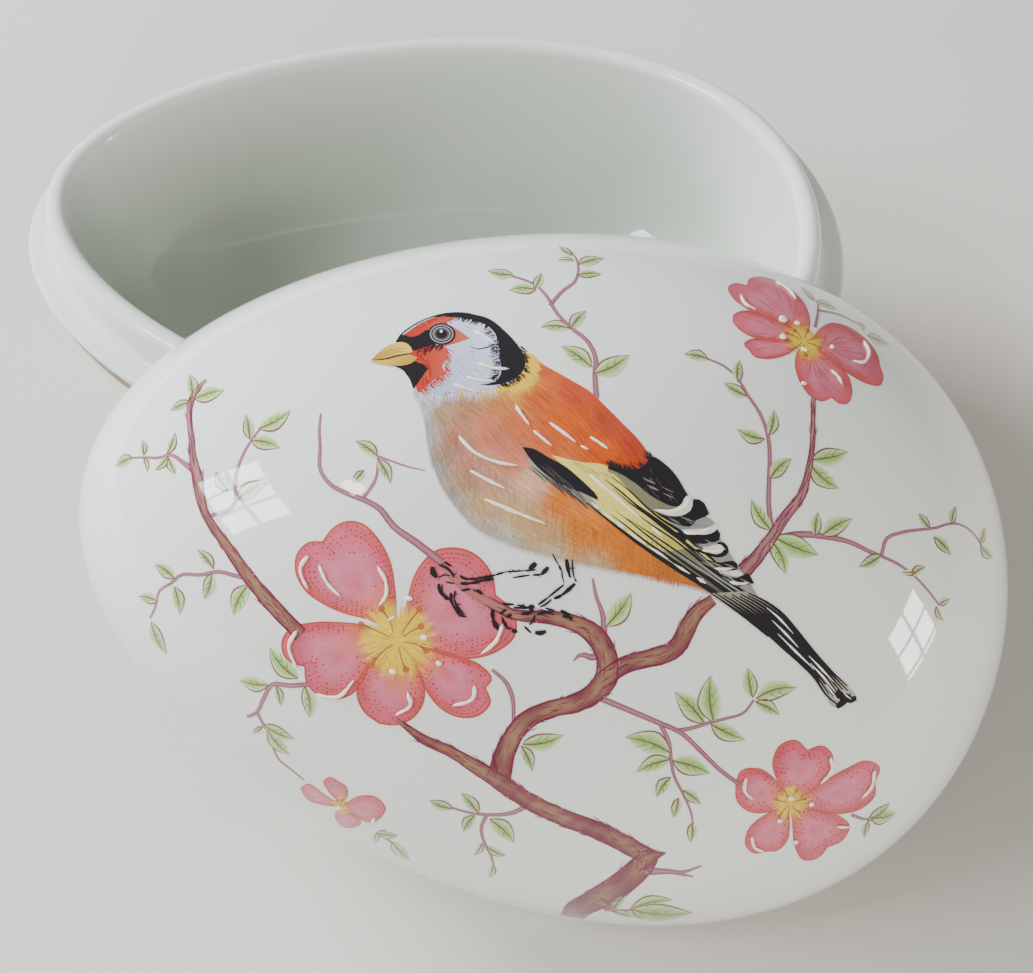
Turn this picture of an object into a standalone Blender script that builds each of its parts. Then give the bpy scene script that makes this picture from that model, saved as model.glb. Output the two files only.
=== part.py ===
"""Egg-shaped porcelain trinket box, shown open: the lid leans on the rim of the base.

Run it with  blender --background --python part.py  or from Blender's text editor.
Lengths are in metres and +Z is up. The origin is on the table, at the middle of the
floor that the open box covers. The egg's long axis lies along X, blunt end at +X.

Each shell is described by its section: rings that run from the middle of the outside,
over the rim and down to the middle of the inside. Every ring is the egg outline, moved
inwards by an inset and then scaled towards the centre, at its own height.
"""

import math

import bmesh
import bpy
from mathutils import Matrix, Vector

MM = 0.001

# The egg outline where the two halves meet, seen from above
HALF_LENGTH = 57.5 * MM
HALF_WIDTH = 41.4 * MM
BLUNTNESS = 0.177            # how much fuller than an ellipse the blunt end is
END_FULLNESS = 0.027         # keeps both ends round
SEGMENTS = 48                # points round the outline

# Base: a bowl on a foot ring, with a ledge for the lid and a lip inside it
LEDGE_HEIGHT = 34.1 * MM
BOWL_DEPTH = 36.6 * MM       # from the ledge to the pole of the curve that the foot cuts off
FOOT_HEIGHT = 1.6 * MM
FOOT_WIDTH = 2.4 * MM
FOOT_RECESS = 1.0 * MM       # how far the underside lies above the table
FLOOR_THICKNESS = 3.6 * MM
EDGE_RADIUS = 0.8 * MM       # outer edge of the ledge
SHOULDER_DROP = 1.3 * MM     # from the ledge down to the shoulder over the gilt line
SHOULDER_DEPTH = 0.6 * MM
LEDGE_FLAT_END = 2.4 * MM    # inset where the ledge turns up into the lip
LIP_INSET = 3.8 * MM
LIP_WIDTH = 3.1 * MM
LIP_HEIGHT = 6.0 * MM

# Lid: a dome whose flat rim sits on the ledge, round the lip
LID_HEIGHT = 35.6 * MM
LID_WALL = 3.2 * MM
RIM_RADIUS = 0.8 * MM
RIM_CHAMFER = 1.0 * MM       # clears the hollow curve between ledge and lip

# Section curves: 2 is an ellipse, and a higher power is squarer
OUTER_POWER = 2.15
BOWL_INNER_POWER = 2.9
POLE_SCALE = 0.07            # the last ring of a dome, closed with a flat cap

# Gilt line: a fired gold band under the shoulder
GILT_WIDTH = 1.6 * MM
GILT_THICKNESS = 0.3 * MM
GAP = 0.3 * MM

# How the lid leans: its front edge on the table and its rim on the base's lip
LID_AHEAD = 44.6 * MM
LID_ASIDE = 22.6 * MM
LID_TILT = math.radians(32.7)
LID_HEADING = math.radians(14.4)
LID_SPIN = math.radians(-15.2)

PORCELAIN_WHITE = (0.86, 0.87, 0.86, 1.0)
GILT_BROWN_GOLD = (0.52, 0.33, 0.13, 1.0)


# ---------------------------------------------------------------- rings of a section

def egg_point(angle, inset):
    """A point of the egg outline, moved inwards along the outline's normal."""
    c = math.cos(angle)
    s = math.sin(angle)
    swell = 1 + BLUNTNESS * c + END_FULLNESS * c * c
    swell_rate = -s * (BLUNTNESS + 2 * END_FULLNESS * c)
    tangent = Vector((-HALF_LENGTH * s, HALF_WIDTH * (c * swell + s * swell_rate), 0)).normalized()
    outward = Vector((tangent.y, -tangent.x, 0))
    return Vector((HALF_LENGTH * c, HALF_WIDTH * s * swell, 0)) - outward * inset


def ring(inset, height, scale=1.0):
    """One ring: the egg outline inset, then scaled towards the centre, at a height."""
    points = []
    for i in range(SEGMENTS):
        point = egg_point(2 * math.pi * i / SEGMENTS, inset) * scale
        point.z = height
        points.append(point)
    return points


def arc_rings(inset, height, inset_radius, height_radius, start, end, steps):
    """Rings along an elliptical arc of the section. 0 degrees points inwards and 90 up."""
    rings = []
    for i in range(steps + 1):
        angle = math.radians(start + (end - start) * i / steps)
        across = inset_radius * math.cos(angle)
        up = height_radius * math.sin(angle)
        rings.append(ring(inset + across, height + up))
    return rings


def curve_rings(inset, rim_height, pole_height, power, start, end, steps):
    """Rings along a dome or a bowl. Turn 0 is its rim and turn 1 its pole."""
    rings = []
    for i in range(steps + 1):
        angle = (start + (end - start) * i / steps) * math.pi / 2
        scale = math.cos(angle) ** (2 / power)
        rise = math.sin(angle) ** (2 / power)
        rings.append(ring(inset, rim_height + (pole_height - rim_height) * rise, scale))
    return rings


def turn_at_scale(scale, power):
    return math.acos(scale ** (power / 2)) * 2 / math.pi


def turn_at_rise(rise, power):
    return math.asin(rise ** (power / 2)) * 2 / math.pi


def base_rings():
    """From the middle of the underside, out and up the bowl, over the lip and down inside."""
    pole = LEDGE_HEIGHT - BOWL_DEPTH
    foot_turn = turn_at_rise((LEDGE_HEIGHT - FOOT_HEIGHT) / BOWL_DEPTH, OUTER_POWER)
    foot_scale = math.cos(foot_turn * math.pi / 2) ** (2 / OUTER_POWER)
    foot_inner = SHOULDER_DEPTH + FOOT_WIDTH / foot_scale
    gilt_end = SHOULDER_DROP + GAP + GILT_WIDTH
    gilt_turn = turn_at_rise(gilt_end / BOWL_DEPTH, OUTER_POWER)
    rings = [
        ring(foot_inner, FOOT_RECESS, foot_scale),
        ring(foot_inner, 0, foot_scale),
        ring(SHOULDER_DEPTH, 0, foot_scale),
    ]
    rings += curve_rings(SHOULDER_DEPTH, LEDGE_HEIGHT, pole, OUTER_POWER, foot_turn, gilt_turn, 9)
    rings.append(ring(SHOULDER_DEPTH, LEDGE_HEIGHT - SHOULDER_DROP))
    rings.append(ring(0, LEDGE_HEIGHT - SHOULDER_DROP))
    rings += arc_rings(
        EDGE_RADIUS, LEDGE_HEIGHT - EDGE_RADIUS, EDGE_RADIUS, EDGE_RADIUS, 180, 90, 3)
    cove = LIP_INSET - LEDGE_FLAT_END
    rings += arc_rings(LEDGE_FLAT_END, LEDGE_HEIGHT + cove, cove, cove, -90, 0, 3)
    lip_middle = LIP_INSET + LIP_WIDTH / 2
    lip_spring = LEDGE_HEIGHT + LIP_HEIGHT - LIP_WIDTH / 2
    rings += arc_rings(lip_middle, lip_spring, LIP_WIDTH / 2, LIP_WIDTH / 2, 180, 0, 6)
    bowl_floor = FOOT_RECESS + FLOOR_THICKNESS
    last_turn = turn_at_scale(POLE_SCALE, BOWL_INNER_POWER)
    rings += curve_rings(
        LIP_INSET + LIP_WIDTH, lip_spring, bowl_floor, BOWL_INNER_POWER, 0, last_turn, 10)[1:]
    return rings


def lid_rings():
    """From the top of the dome down to the rim, round it, and up to the middle of the inside."""
    last_turn = turn_at_scale(POLE_SCALE, OUTER_POWER)
    rings = curve_rings(0, RIM_RADIUS, LID_HEIGHT, OUTER_POWER, last_turn, 0, 12)
    rings += arc_rings(RIM_RADIUS, RIM_RADIUS, RIM_RADIUS, RIM_RADIUS, 180, 270, 3)[1:]
    rings.append(ring(LID_WALL - RIM_CHAMFER, 0))
    rings.append(ring(LID_WALL, RIM_CHAMFER))
    inner_top = LID_HEIGHT - LID_WALL
    rings += curve_rings(LID_WALL, RIM_CHAMFER, inner_top, OUTER_POWER, 0, last_turn, 10)[1:]
    return rings


def gilt_rings():
    """A flat band with a square section, under the shoulder."""
    top = LEDGE_HEIGHT - SHOULDER_DROP - GAP
    bottom = top - GILT_WIDTH
    return [
        ring(0, top),
        ring(0, bottom),
        ring(GILT_THICKNESS, bottom),
        ring(GILT_THICKNESS, top),
    ]


# ---------------------------------------------------------------- solids

def add_loops(bm, rings):
    """A loop of vertices for each ring."""
    loops = []
    for points in rings:
        loop = bmesh.ops.create_circle(bm, segments=SEGMENTS, radius=1.0)["verts"]
        for vert, point in zip(loop, points):
            vert.co = point
        loops.append(loop)
    return loops


def join_loops(bm, loop, next_loop):
    """Loft a strip of four-sided faces. The rings differ in outline and some share a plane."""
    for i in range(SEGMENTS):
        bm.faces.new((loop[i - 1], loop[i], next_loop[i], next_loop[i - 1]))


def finish_solid(bm, name, material, collection):
    """Turn the faces outwards and make a smooth-shaded object of the mesh."""
    bmesh.ops.recalc_face_normals(bm, faces=bm.faces)
    mesh = bpy.data.meshes.new(name)
    bm.to_mesh(mesh)
    bm.free()
    mesh.shade_smooth()
    mesh.set_sharp_from_angle(angle=math.radians(40))
    mesh.materials.append(material)
    thing = bpy.data.objects.new(name, mesh)
    collection.objects.link(thing)
    return thing


def make_shell(name, rings, material, collection):
    """A closed shell: neighbouring rings are joined, and the first and last are capped."""
    bm = bmesh.new()
    loops = add_loops(bm, rings)
    for loop, next_loop in zip(loops, loops[1:]):
        join_loops(bm, loop, next_loop)
    bm.faces.new(loops[0])
    bm.faces.new(loops[-1])
    return finish_solid(bm, name, material, collection)


def make_band(name, rings, material, collection):
    """A closed ring of material: the last ring of its section is joined to the first."""
    bm = bmesh.new()
    loops = add_loops(bm, rings)
    for loop, next_loop in zip(loops, loops[1:] + loops[:1]):
        join_loops(bm, loop, next_loop)
    return finish_solid(bm, name, material, collection)


def make_material(name, colour, roughness, metallic):
    material = bpy.data.materials.new(name)
    material.use_nodes = True
    shader = material.node_tree.nodes["Principled BSDF"]
    shader.inputs["Base Color"].default_value = colour
    shader.inputs["Roughness"].default_value = roughness
    shader.inputs["Metallic"].default_value = metallic
    material.diffuse_color = colour
    return material


# ---------------------------------------------------------------- placing

def lean(lid):
    """Tip the lid forward and lower it until its front edge is on the table."""
    turn = (
        Matrix.Rotation(LID_HEADING, 4, "Z")
        @ Matrix.Rotation(LID_TILT, 4, "X")
        @ Matrix.Rotation(LID_SPIN, 4, "Z")
    )
    lowest = min((turn @ vert.co).z for vert in lid.data.vertices)
    lid.matrix_world = Matrix.Translation((LID_ASIDE, -LID_AHEAD, -lowest)) @ turn


def centre_on_origin(things, collection):
    """Hang everything on an empty, moved so that the origin is the middle of the floor covered."""
    bpy.context.view_layer.update()
    corners = [thing.matrix_world @ vert.co for thing in things for vert in thing.data.vertices]
    middle_x = (min(point.x for point in corners) + max(point.x for point in corners)) / 2
    middle_y = (min(point.y for point in corners) + max(point.y for point in corners)) / 2
    table_spot = bpy.data.objects.new("table_spot", None)
    collection.objects.link(table_spot)
    for thing in things:
        thing.parent = table_spot
    table_spot.location = (-middle_x, -middle_y, 0)


def clear_scene():
    for thing in list(bpy.data.objects):
        bpy.data.objects.remove(thing, do_unlink=True)


def main():
    clear_scene()
    collection = bpy.data.collections.new("porcelain_trinket_box")
    bpy.context.scene.collection.children.link(collection)
    base_glaze = make_material("base_glaze", PORCELAIN_WHITE, 0.08, 0.0)
    lid_glaze = make_material("lid_glaze", PORCELAIN_WHITE, 0.08, 0.0)
    gilt = make_material("gilt", GILT_BROWN_GOLD, 0.3, 1.0)
    base = make_shell("base_shell", base_rings(), base_glaze, collection)
    lid = make_shell("lid_shell", lid_rings(), lid_glaze, collection)
    gilt_line = make_band("gilt_line", gilt_rings(), gilt, collection)
    lean(lid)
    centre_on_origin([base, lid, gilt_line], collection)


main()
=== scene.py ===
# %% [markdown]
# # A porcelain egg box, left open
#
# The object is a trinket box of white glazed porcelain in the shape of an egg. It has two
# loose halves: a deep bowl with a stepped rim, and a domed lid that leans on that rim with
# its front edge on the table. A bird on a blossoming branch is printed on the lid, and the
# painter has gone over it with raised white enamel.
#
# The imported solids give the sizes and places. This script lays the fine porcelain over
# them, prints the picture, and lights it as in a small studio.

# %% Load the frame
import math

import bmesh
import bpy
import numpy as np
from mathutils import Matrix, Vector


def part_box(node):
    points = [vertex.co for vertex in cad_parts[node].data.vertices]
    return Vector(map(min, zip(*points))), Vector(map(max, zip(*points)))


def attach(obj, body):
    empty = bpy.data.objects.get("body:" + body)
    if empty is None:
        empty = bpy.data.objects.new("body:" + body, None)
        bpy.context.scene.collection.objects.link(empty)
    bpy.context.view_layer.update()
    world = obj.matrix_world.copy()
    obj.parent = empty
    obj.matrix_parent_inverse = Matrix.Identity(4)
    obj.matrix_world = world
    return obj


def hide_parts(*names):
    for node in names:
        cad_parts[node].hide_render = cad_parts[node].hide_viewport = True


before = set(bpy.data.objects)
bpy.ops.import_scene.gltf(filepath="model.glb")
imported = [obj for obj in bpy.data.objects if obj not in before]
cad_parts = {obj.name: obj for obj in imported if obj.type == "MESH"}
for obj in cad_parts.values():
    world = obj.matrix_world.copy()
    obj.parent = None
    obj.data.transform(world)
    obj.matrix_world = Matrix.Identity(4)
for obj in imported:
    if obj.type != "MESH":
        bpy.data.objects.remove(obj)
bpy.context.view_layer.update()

# %% [markdown]
# ## The egg outline
#
# Both halves share one outline, seen from above. It is an ellipse that is fuller at one
# end. A slip-cast wall has the same thickness all the way round, so an inner edge isn't a
# smaller copy of the outline: it is the outline moved inwards along its normal. A dome,
# on the other hand, does shrink evenly towards its top. So a ring of the shell is given by
# an inset in millimetres, then a scale, then a height.

# %% The outline, in millimetres
HALF_LENGTH = 57.5
HALF_WIDTH = 41.4
BLUNTNESS = 0.177
END_FULLNESS = 0.027
METRES = 0.001


def egg_outline(turn, inset=0.0):
    """Plan points for an array of angles, moved inwards by an inset."""
    c, s = np.cos(turn), np.sin(turn)
    swell = 1 + BLUNTNESS * c + END_FULLNESS * c * c
    swell_rate = -s * (BLUNTNESS + 2 * END_FULLNESS * c)
    tangent = np.stack([-HALF_LENGTH * s, HALF_WIDTH * (c * swell + s * swell_rate)], axis=-1)
    tangent /= np.linalg.norm(tangent, axis=-1, keepdims=True)
    outward = np.stack([tangent[..., 1], -tangent[..., 0]], axis=-1)
    return np.stack([HALF_LENGTH * c, HALF_WIDTH * s * swell], axis=-1) - outward * inset


widest = egg_outline(np.linspace(0, 2 * math.pi, 720))[:, 1].max()
print("egg outline: %.1f x %.1f mm" % (2 * HALF_LENGTH, 2 * widest))

# %% [markdown]
# ## The section of a shell
#
# A thrower would cut a template of the section. Here the section is a list of rings, made
# of two kinds of run: an arc for each rounded edge or hollow, and a dome or bowl curve. The
# curve is a little squarer than an ellipse, which keeps the sides of the egg full.

# %% Runs of rings
def arc_rings(inset, height, radius, start, end, steps):
    """Rings round a small arc of the section. 0 degrees points inwards and 90 up."""
    rings = []
    for i in range(steps + 1):
        angle = math.radians(start + (end - start) * i / steps)
        rings.append((inset + radius * math.cos(angle), 1.0, height + radius * math.sin(angle)))
    return rings


def dome_rings(inset, rim, pole, power, start, end, steps):
    """Rings along a dome or bowl, from turn 0 at its rim to turn 1 at its pole."""
    rings = []
    for i in range(steps + 1):
        angle = (start + (end - start) * i / steps) * math.pi / 2
        scale = max(math.cos(angle), 0.0) ** (2 / power)
        rings.append((inset, scale, rim + (pole - rim) * math.sin(angle) ** (2 / power)))
    return rings


def turn_at(rise, power):
    """The turn of a dome curve at a share of its full rise."""
    return math.asin(rise ** (power / 2)) * 2 / math.pi


# %% [markdown]
# ## Drawing a shell out ring by ring
#
# One way is to lathe the section and squash the result, but that would thin the wall at
# the sides. Instead a circle of edges is extruded again and again, and every new loop is
# moved to its own ring. A number kept on each vertex, its turn round the egg, is copied by
# the extrusion, so every vertex knows where its ring runs. The first and last loops are
# merged into the poles, which closes the shell.

# %% The shell maker
ROUND_STEPS = 192
POOL_SHADE_RINGS = 20


def draw_shell(rings, closed_loop=False, pool_shade_from=None):
    """A closed egg shell, in millimetres, from (inset, scale, height) rings.

    Glaze pools in a hollow. From the ring given last on, a number kept on each vertex rises
    from 0 to 1. It tints the inside of the bowl with pooled glaze and with painted shade.
    """
    bm = bmesh.new()
    turn = bm.verts.layers.float.new("turn")
    pool_shade = bm.verts.layers.float.new("pool_shade")
    loop = bmesh.ops.create_circle(bm, segments=ROUND_STEPS, radius=1.0)["verts"]
    for i, vert in enumerate(loop):
        vert[turn] = 2 * math.pi * i / ROUND_STEPS
    edges = bm.edges[:]
    first_loop = loop
    first_edges = edges
    for number, (inset, scale, height) in enumerate(rings):
        if number:
            drawn = bmesh.ops.extrude_edge_only(bm, edges=edges)["geom"]
            loop = [item for item in drawn if isinstance(item, bmesh.types.BMVert)]
            fresh = set(loop)
            edges = [
                item for item in drawn
                if isinstance(item, bmesh.types.BMEdge) and fresh.issuperset(item.verts)
            ]
        plan = egg_outline(np.array([vert[turn] for vert in loop]), inset) * scale
        for vert, (x, y) in zip(loop, plan):
            vert.co = (x, y, height)
            if pool_shade_from is not None:
                vert[pool_shade] = min(max((number - pool_shade_from) / POOL_SHADE_RINGS, 0.0), 1.0)
    if closed_loop:
        bmesh.ops.bridge_loops(bm, edges=first_edges + edges)
    else:
        for ring_verts, height in ((first_loop, rings[0][2]), (loop, rings[-1][2])):
            bmesh.ops.pointmerge(bm, verts=ring_verts, merge_co=(0, 0, height))
    bmesh.ops.recalc_face_normals(bm, faces=bm.faces)
    if bm.calc_volume(signed=True) < 0:
        bmesh.ops.reverse_faces(bm, faces=bm.faces)
    return bm


def finish_piece(bm, name, place, material, sharp=None):
    """Put a mesh made in millimetres in its place, in metres, as a smooth-shaded object."""
    bm.transform(place @ Matrix.Scale(METRES, 4))
    mesh = bpy.data.meshes.new(name)
    bm.to_mesh(mesh)
    bm.free()
    mesh.shade_smooth()
    if sharp is not None:
        mesh.set_sharp_from_angle(angle=math.radians(sharp))
    mesh.materials.append(material)
    piece = bpy.data.objects.new(name, mesh)
    bpy.context.scene.collection.objects.link(piece)
    print("%s: %d faces" % (name, len(mesh.polygons)))
    return piece


# %% [markdown]
# ## Where the two halves are
#
# The base stands level, so the middle of its box is the middle of its egg. The lid leans:
# it is spun, tilted with its front edge down, and turned to its heading. Its height comes
# from its lowest point, which touches the table.

# %% Places of the base and the lid
base_low, base_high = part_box("base_shell")
base_place = Matrix.Translation((
    (base_low[0] + base_high[0]) / 2, (base_low[1] + base_high[1]) / 2, base_low[2]))

LID_AHEAD = 44.6
LID_ASIDE = 22.6
LID_TILT = 32.7
LID_HEADING = 14.4
LID_SPIN = -15.2
lid_turn = (
    Matrix.Rotation(math.radians(LID_HEADING), 4, "Z")
    @ Matrix.Rotation(math.radians(LID_TILT), 4, "X")
    @ Matrix.Rotation(math.radians(LID_SPIN), 4, "Z")
)

# %% [markdown]
# ## The lid's section
#
# The lid is one casting: a dome 35.6 mm high with a wall of 3.2 mm, a flat rim, a soft
# outer edge, and a bevel inside the rim that clears the curve at the foot of the lip.

# %% Rings of the lid
LID_HEIGHT = 35.6
LID_WALL = 3.2
RIM_RADIUS = 0.8
BEVEL = 1.0
OUTER_POWER = 2.15
DOME_STEPS = 56
NEAR_POLE = 0.995

lid_rings = dome_rings(0, RIM_RADIUS, LID_HEIGHT, OUTER_POWER, NEAR_POLE, 0, DOME_STEPS)
lid_rings += arc_rings(RIM_RADIUS, RIM_RADIUS, RIM_RADIUS, 180, 270, 6)[1:]
lid_rings += [(LID_WALL - BEVEL - 0.2, 1.0, 0.0), (LID_WALL - BEVEL, 1.0, 0.06)]
lid_rings += [(LID_WALL - 0.1, 1.0, BEVEL - 0.2), (LID_WALL, 1.0, BEVEL)]
lid_rings += dome_rings(
    LID_WALL, BEVEL, LID_HEIGHT - LID_WALL, OUTER_POWER, 0, NEAR_POLE, DOME_STEPS)[1:]
lid_mesh = draw_shell(lid_rings)
lid_lowest = min((lid_turn @ vert.co).z for vert in lid_mesh.verts)
lid_place = Matrix.Translation(Vector((
    base_place.translation.x + LID_ASIDE * METRES,
    base_place.translation.y - LID_AHEAD * METRES,
    base_low[2] - lid_lowest * METRES))) @ lid_turn
print("lid rim centre at", [round(c * 1000, 1) for c in lid_place.translation], "mm")

# %% [markdown]
# ## The base's section
#
# From the middle of the underside outwards: a shallow recess, the foot ring that the box
# stands on, the full side of the bowl, a small shoulder over the gilt line, the rounded
# edge of the ledge, the ledge itself, a hollow curve up into the lip, the round top of the
# lip, and then the smooth inside of the bowl.

# %% Rings of the base
LEDGE_HEIGHT = 34.1
BOWL_DEPTH = 36.6
FOOT_HEIGHT = 1.6
FOOT_WIDTH = 2.4
FOOT_RECESS = 1.0
FOOT_SOFTNESS = 0.4
FLOOR_THICKNESS = 3.6
EDGE_RADIUS = 0.8
SHOULDER_DROP = 1.3
SHOULDER_DEPTH = 0.6
LEDGE_FLAT_END = 2.4
LIP_INSET = 3.8
LIP_WIDTH = 3.1
LIP_HEIGHT = 6.0
BOWL_INNER_POWER = 2.9
BOWL_NEAR_POLE = 0.997
SHOULDER_ROUND = 0.35
SHOULDER_HOLLOW = 0.3
SIDE_STEPS = 44

pole = LEDGE_HEIGHT - BOWL_DEPTH
foot_turn = turn_at((LEDGE_HEIGHT - FOOT_HEIGHT) / BOWL_DEPTH, OUTER_POWER)
foot_scale = math.cos(foot_turn * math.pi / 2) ** (2 / OUTER_POWER)
foot_inner = SHOULDER_DEPTH + FOOT_WIDTH / foot_scale
base_rings = [
    (foot_inner, 0.004, FOOT_RECESS),
    (foot_inner, foot_scale * 0.5, FOOT_RECESS),
    (foot_inner + FOOT_SOFTNESS, foot_scale, FOOT_RECESS),
    (foot_inner, foot_scale, FOOT_RECESS - FOOT_SOFTNESS / 2),
    (foot_inner, foot_scale, FOOT_SOFTNESS / 2),
    (foot_inner - FOOT_SOFTNESS, foot_scale, 0.0),
    (SHOULDER_DEPTH + FOOT_SOFTNESS, foot_scale, 0.0),
    (SHOULDER_DEPTH + FOOT_SOFTNESS / 4, foot_scale, FOOT_SOFTNESS / 4),
    (SHOULDER_DEPTH, foot_scale, FOOT_SOFTNESS),
    (SHOULDER_DEPTH, foot_scale, FOOT_HEIGHT - FOOT_SOFTNESS),
]
gilt_turn = turn_at((SHOULDER_DROP + 0.5) / BOWL_DEPTH, OUTER_POWER)
base_rings += dome_rings(
    SHOULDER_DEPTH, LEDGE_HEIGHT, pole, OUTER_POWER, foot_turn - 0.004, gilt_turn, SIDE_STEPS)
base_rings += arc_rings(
    SHOULDER_DEPTH - SHOULDER_ROUND, LEDGE_HEIGHT - SHOULDER_DROP - SHOULDER_ROUND,
    SHOULDER_ROUND, 0, 90, 4)
base_rings += arc_rings(
    SHOULDER_HOLLOW, LEDGE_HEIGHT - SHOULDER_DROP + SHOULDER_HOLLOW, SHOULDER_HOLLOW, 270, 180, 4)
base_rings += arc_rings(EDGE_RADIUS, LEDGE_HEIGHT - EDGE_RADIUS, EDGE_RADIUS, 180, 90, 8)
cove = LIP_INSET - LEDGE_FLAT_END
base_rings += arc_rings(LEDGE_FLAT_END, LEDGE_HEIGHT + cove, cove, -90, 0, 8)
lip_radius = LIP_WIDTH / 2
lip_spring = LEDGE_HEIGHT + LIP_HEIGHT - lip_radius
base_rings += arc_rings(LIP_INSET + lip_radius, lip_spring, lip_radius, 180, 0, 16)
lip_ring = len(base_rings)
base_rings += dome_rings(
    LIP_INSET + LIP_WIDTH, lip_spring, FOOT_RECESS + FLOOR_THICKNESS,
    BOWL_INNER_POWER, 0, BOWL_NEAR_POLE, DOME_STEPS)[1:]
base_mesh = draw_shell(base_rings, pool_shade_from=lip_ring - 4)
print("base: %d rings, lid: %d rings" % (len(base_rings), len(lid_rings)))

# %% [markdown]
# ## Glaze, ink, gold and enamel
#
# Everything on the box but the gold lies in or under one clear, glossy glaze, so those
# materials share a clear coat, and a reflection runs on unbroken from white porcelain to
# print. Under the coat each finish has its own colour. Porcelain is never one flat white: it
# has faint clouds of warmer and cooler tone, a few tiny iron specks, and a slow ripple in the
# glaze. Two materials use those effects, so they are a node group.

# %% Node helpers
def node(tree, kind, **settings):
    made = tree.nodes.new("ShaderNode" + kind)
    for key, value in settings.items():
        setattr(made, key, value)
    return made


def new_group(name, inputs, outputs):
    """An empty shader group. Returns it with its input and output nodes."""
    group = bpy.data.node_groups.new(name, "ShaderNodeTree")
    for label, kind, value in inputs:
        socket = group.interface.new_socket(label, in_out="INPUT", socket_type=kind)
        socket.default_value = value
    for label, kind in outputs:
        group.interface.new_socket(label, in_out="OUTPUT", socket_type=kind)
    return group, group.nodes.new("NodeGroupInput"), group.nodes.new("NodeGroupOutput")


def feed(tree, slot, value):
    """Give a socket a number or a colour, or link another socket to it."""
    if isinstance(value, (int, float, tuple)):
        slot.default_value = value
    else:
        tree.links.new(value, slot)


def maths(tree, operation, first, second, third=0.5, clamp=False):
    """A Math node. Each operand is a socket or a number."""
    made = node(tree, "Math", operation=operation, use_clamp=clamp)
    for slot, value in zip(made.inputs, (first, second, third)):
        feed(tree, slot, value)
    return made.outputs[0]


def mixed(tree, share, first, second, blend="MIX"):
    """A colour Mix node. The share and the colours are sockets or values."""
    made = node(tree, "Mix", data_type="RGBA", blend_type=blend)
    for slot, value in zip((made.inputs[0], made.inputs[6], made.inputs[7]), (share, first, second)):
        feed(tree, slot, value)
    return made.outputs[2]


def noise(tree, scale, detail=2):
    """Soft noise over the piece's own coordinates, from 0 to 1."""
    made = node(tree, "TexNoise")
    made.inputs["Scale"].default_value = scale
    made.inputs["Detail"].default_value = detail
    tree.links.new(node(tree, "TexCoord").outputs["Object"], made.inputs["Vector"])
    return made.outputs["Fac"]


def bumped(tree, height, strength, depth):
    """A normal that follows a height. The depth is in metres."""
    bump = node(tree, "Bump")
    bump.inputs["Strength"].default_value = strength
    bump.inputs["Distance"].default_value = depth
    tree.links.new(height, bump.inputs["Height"])
    return bump.outputs["Normal"]


def srgb(red, green, blue):
    """A linear colour from the 0 to 255 numbers that a paint chart gives."""
    return tuple(
        c / 12.92 if c <= 0.04045 else ((c + 0.055) / 1.055) ** 2.4
        for c in (red / 255, green / 255, blue / 255)) + (1.0,)


def ink(red, green, blue):
    """The same colour as three numbers to reckon with."""
    return np.array(srgb(red, green, blue)[:3])


# %% The glaze group
def build_glaze_group():
    group, given, out = new_group(
        "living_glaze",
        [("Body", "NodeSocketColor", srgb(235, 236, 232)),
         ("Cloud", "NodeSocketColor", srgb(226, 230, 232)),
         ("Speck", "NodeSocketFloat", 0.05)],
        [("Color", "NodeSocketColor"), ("Roughness", "NodeSocketFloat"),
         ("Normal", "NodeSocketVector")])
    clouds = noise(group, 26)
    specks = node(group, "TexVoronoi")
    specks.inputs["Scale"].default_value = 210
    group.links.new(node(group, "TexCoord").outputs["Object"], specks.inputs["Vector"])
    lot = node(group, "SeparateColor")
    group.links.new(specks.outputs["Color"], lot.inputs[0])
    rare = maths(group, "LESS_THAN", lot.outputs[0], given.outputs["Speck"])
    near = maths(group, "LESS_THAN", specks.outputs["Distance"], 0.035)
    is_speck = maths(group, "MULTIPLY", rare, near)
    tinted = mixed(group, clouds, given.outputs["Body"], given.outputs["Cloud"])
    speckled = mixed(group, maths(group, "MULTIPLY", is_speck, 0.55), tinted, srgb(120, 105, 90))
    group.links.new(speckled, out.inputs["Color"])
    group.links.new(maths(group, "MULTIPLY_ADD", clouds, 0.08, 0.5), out.inputs["Roughness"])
    group.links.new(
        bumped(group, noise(group, 150, detail=1), 0.05, 0.0004), out.inputs["Normal"])
    return group


glaze_group = build_glaze_group()

# %% [markdown]
# A print is laid down as fine dots and lines of ceramic colour, so its tone is grainy close
# up. The second group takes the tone painted on the mesh and breaks it into grain.

# %% The print group
def build_print_group():
    group, given, out = new_group(
        "print_grain",
        [("Tone", "NodeSocketColor", (0.5, 0.5, 0.5, 1)), ("Grain", "NodeSocketFloat", 0.25)],
        [("Color", "NodeSocketColor"), ("Roughness", "NodeSocketFloat")])
    both = maths(group, "ADD", noise(group, 4200, detail=1), noise(group, 420))
    centred = maths(group, "SUBTRACT", both, 1.0)
    strength = maths(group, "MULTIPLY", centred, given.outputs["Grain"])
    factor = maths(group, "ADD", strength, 1.0)
    grey = node(group, "CombineColor")
    for slot in grey.inputs[:3]:
        group.links.new(factor, slot)
    group.links.new(
        mixed(group, 1.0, given.outputs["Tone"], grey.outputs[0], "MULTIPLY"), out.inputs["Color"])
    group.links.new(maths(group, "MULTIPLY", factor, 0.3), out.inputs["Roughness"])
    return group


print_group = build_print_group()

# %% [markdown]
# The materials. Gold is fired on as a film, and handling wears it: it goes brown and dull
# in patches. Enamel is a thick opaque white that stands up from the glaze in drops.

# %% The materials
def new_finish(name, coat=1.0):
    """A material with the clear coat that all the fired finishes share."""
    material = bpy.data.materials.new(name)
    material.use_nodes = True
    tree = material.node_tree
    shader = tree.nodes["Principled BSDF"]
    shader.inputs["Coat Weight"].default_value = coat
    shader.inputs["Coat Roughness"].default_value = 0.035
    shader.inputs["Specular IOR Level"].default_value = 0.1
    return material, tree, shader


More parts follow.
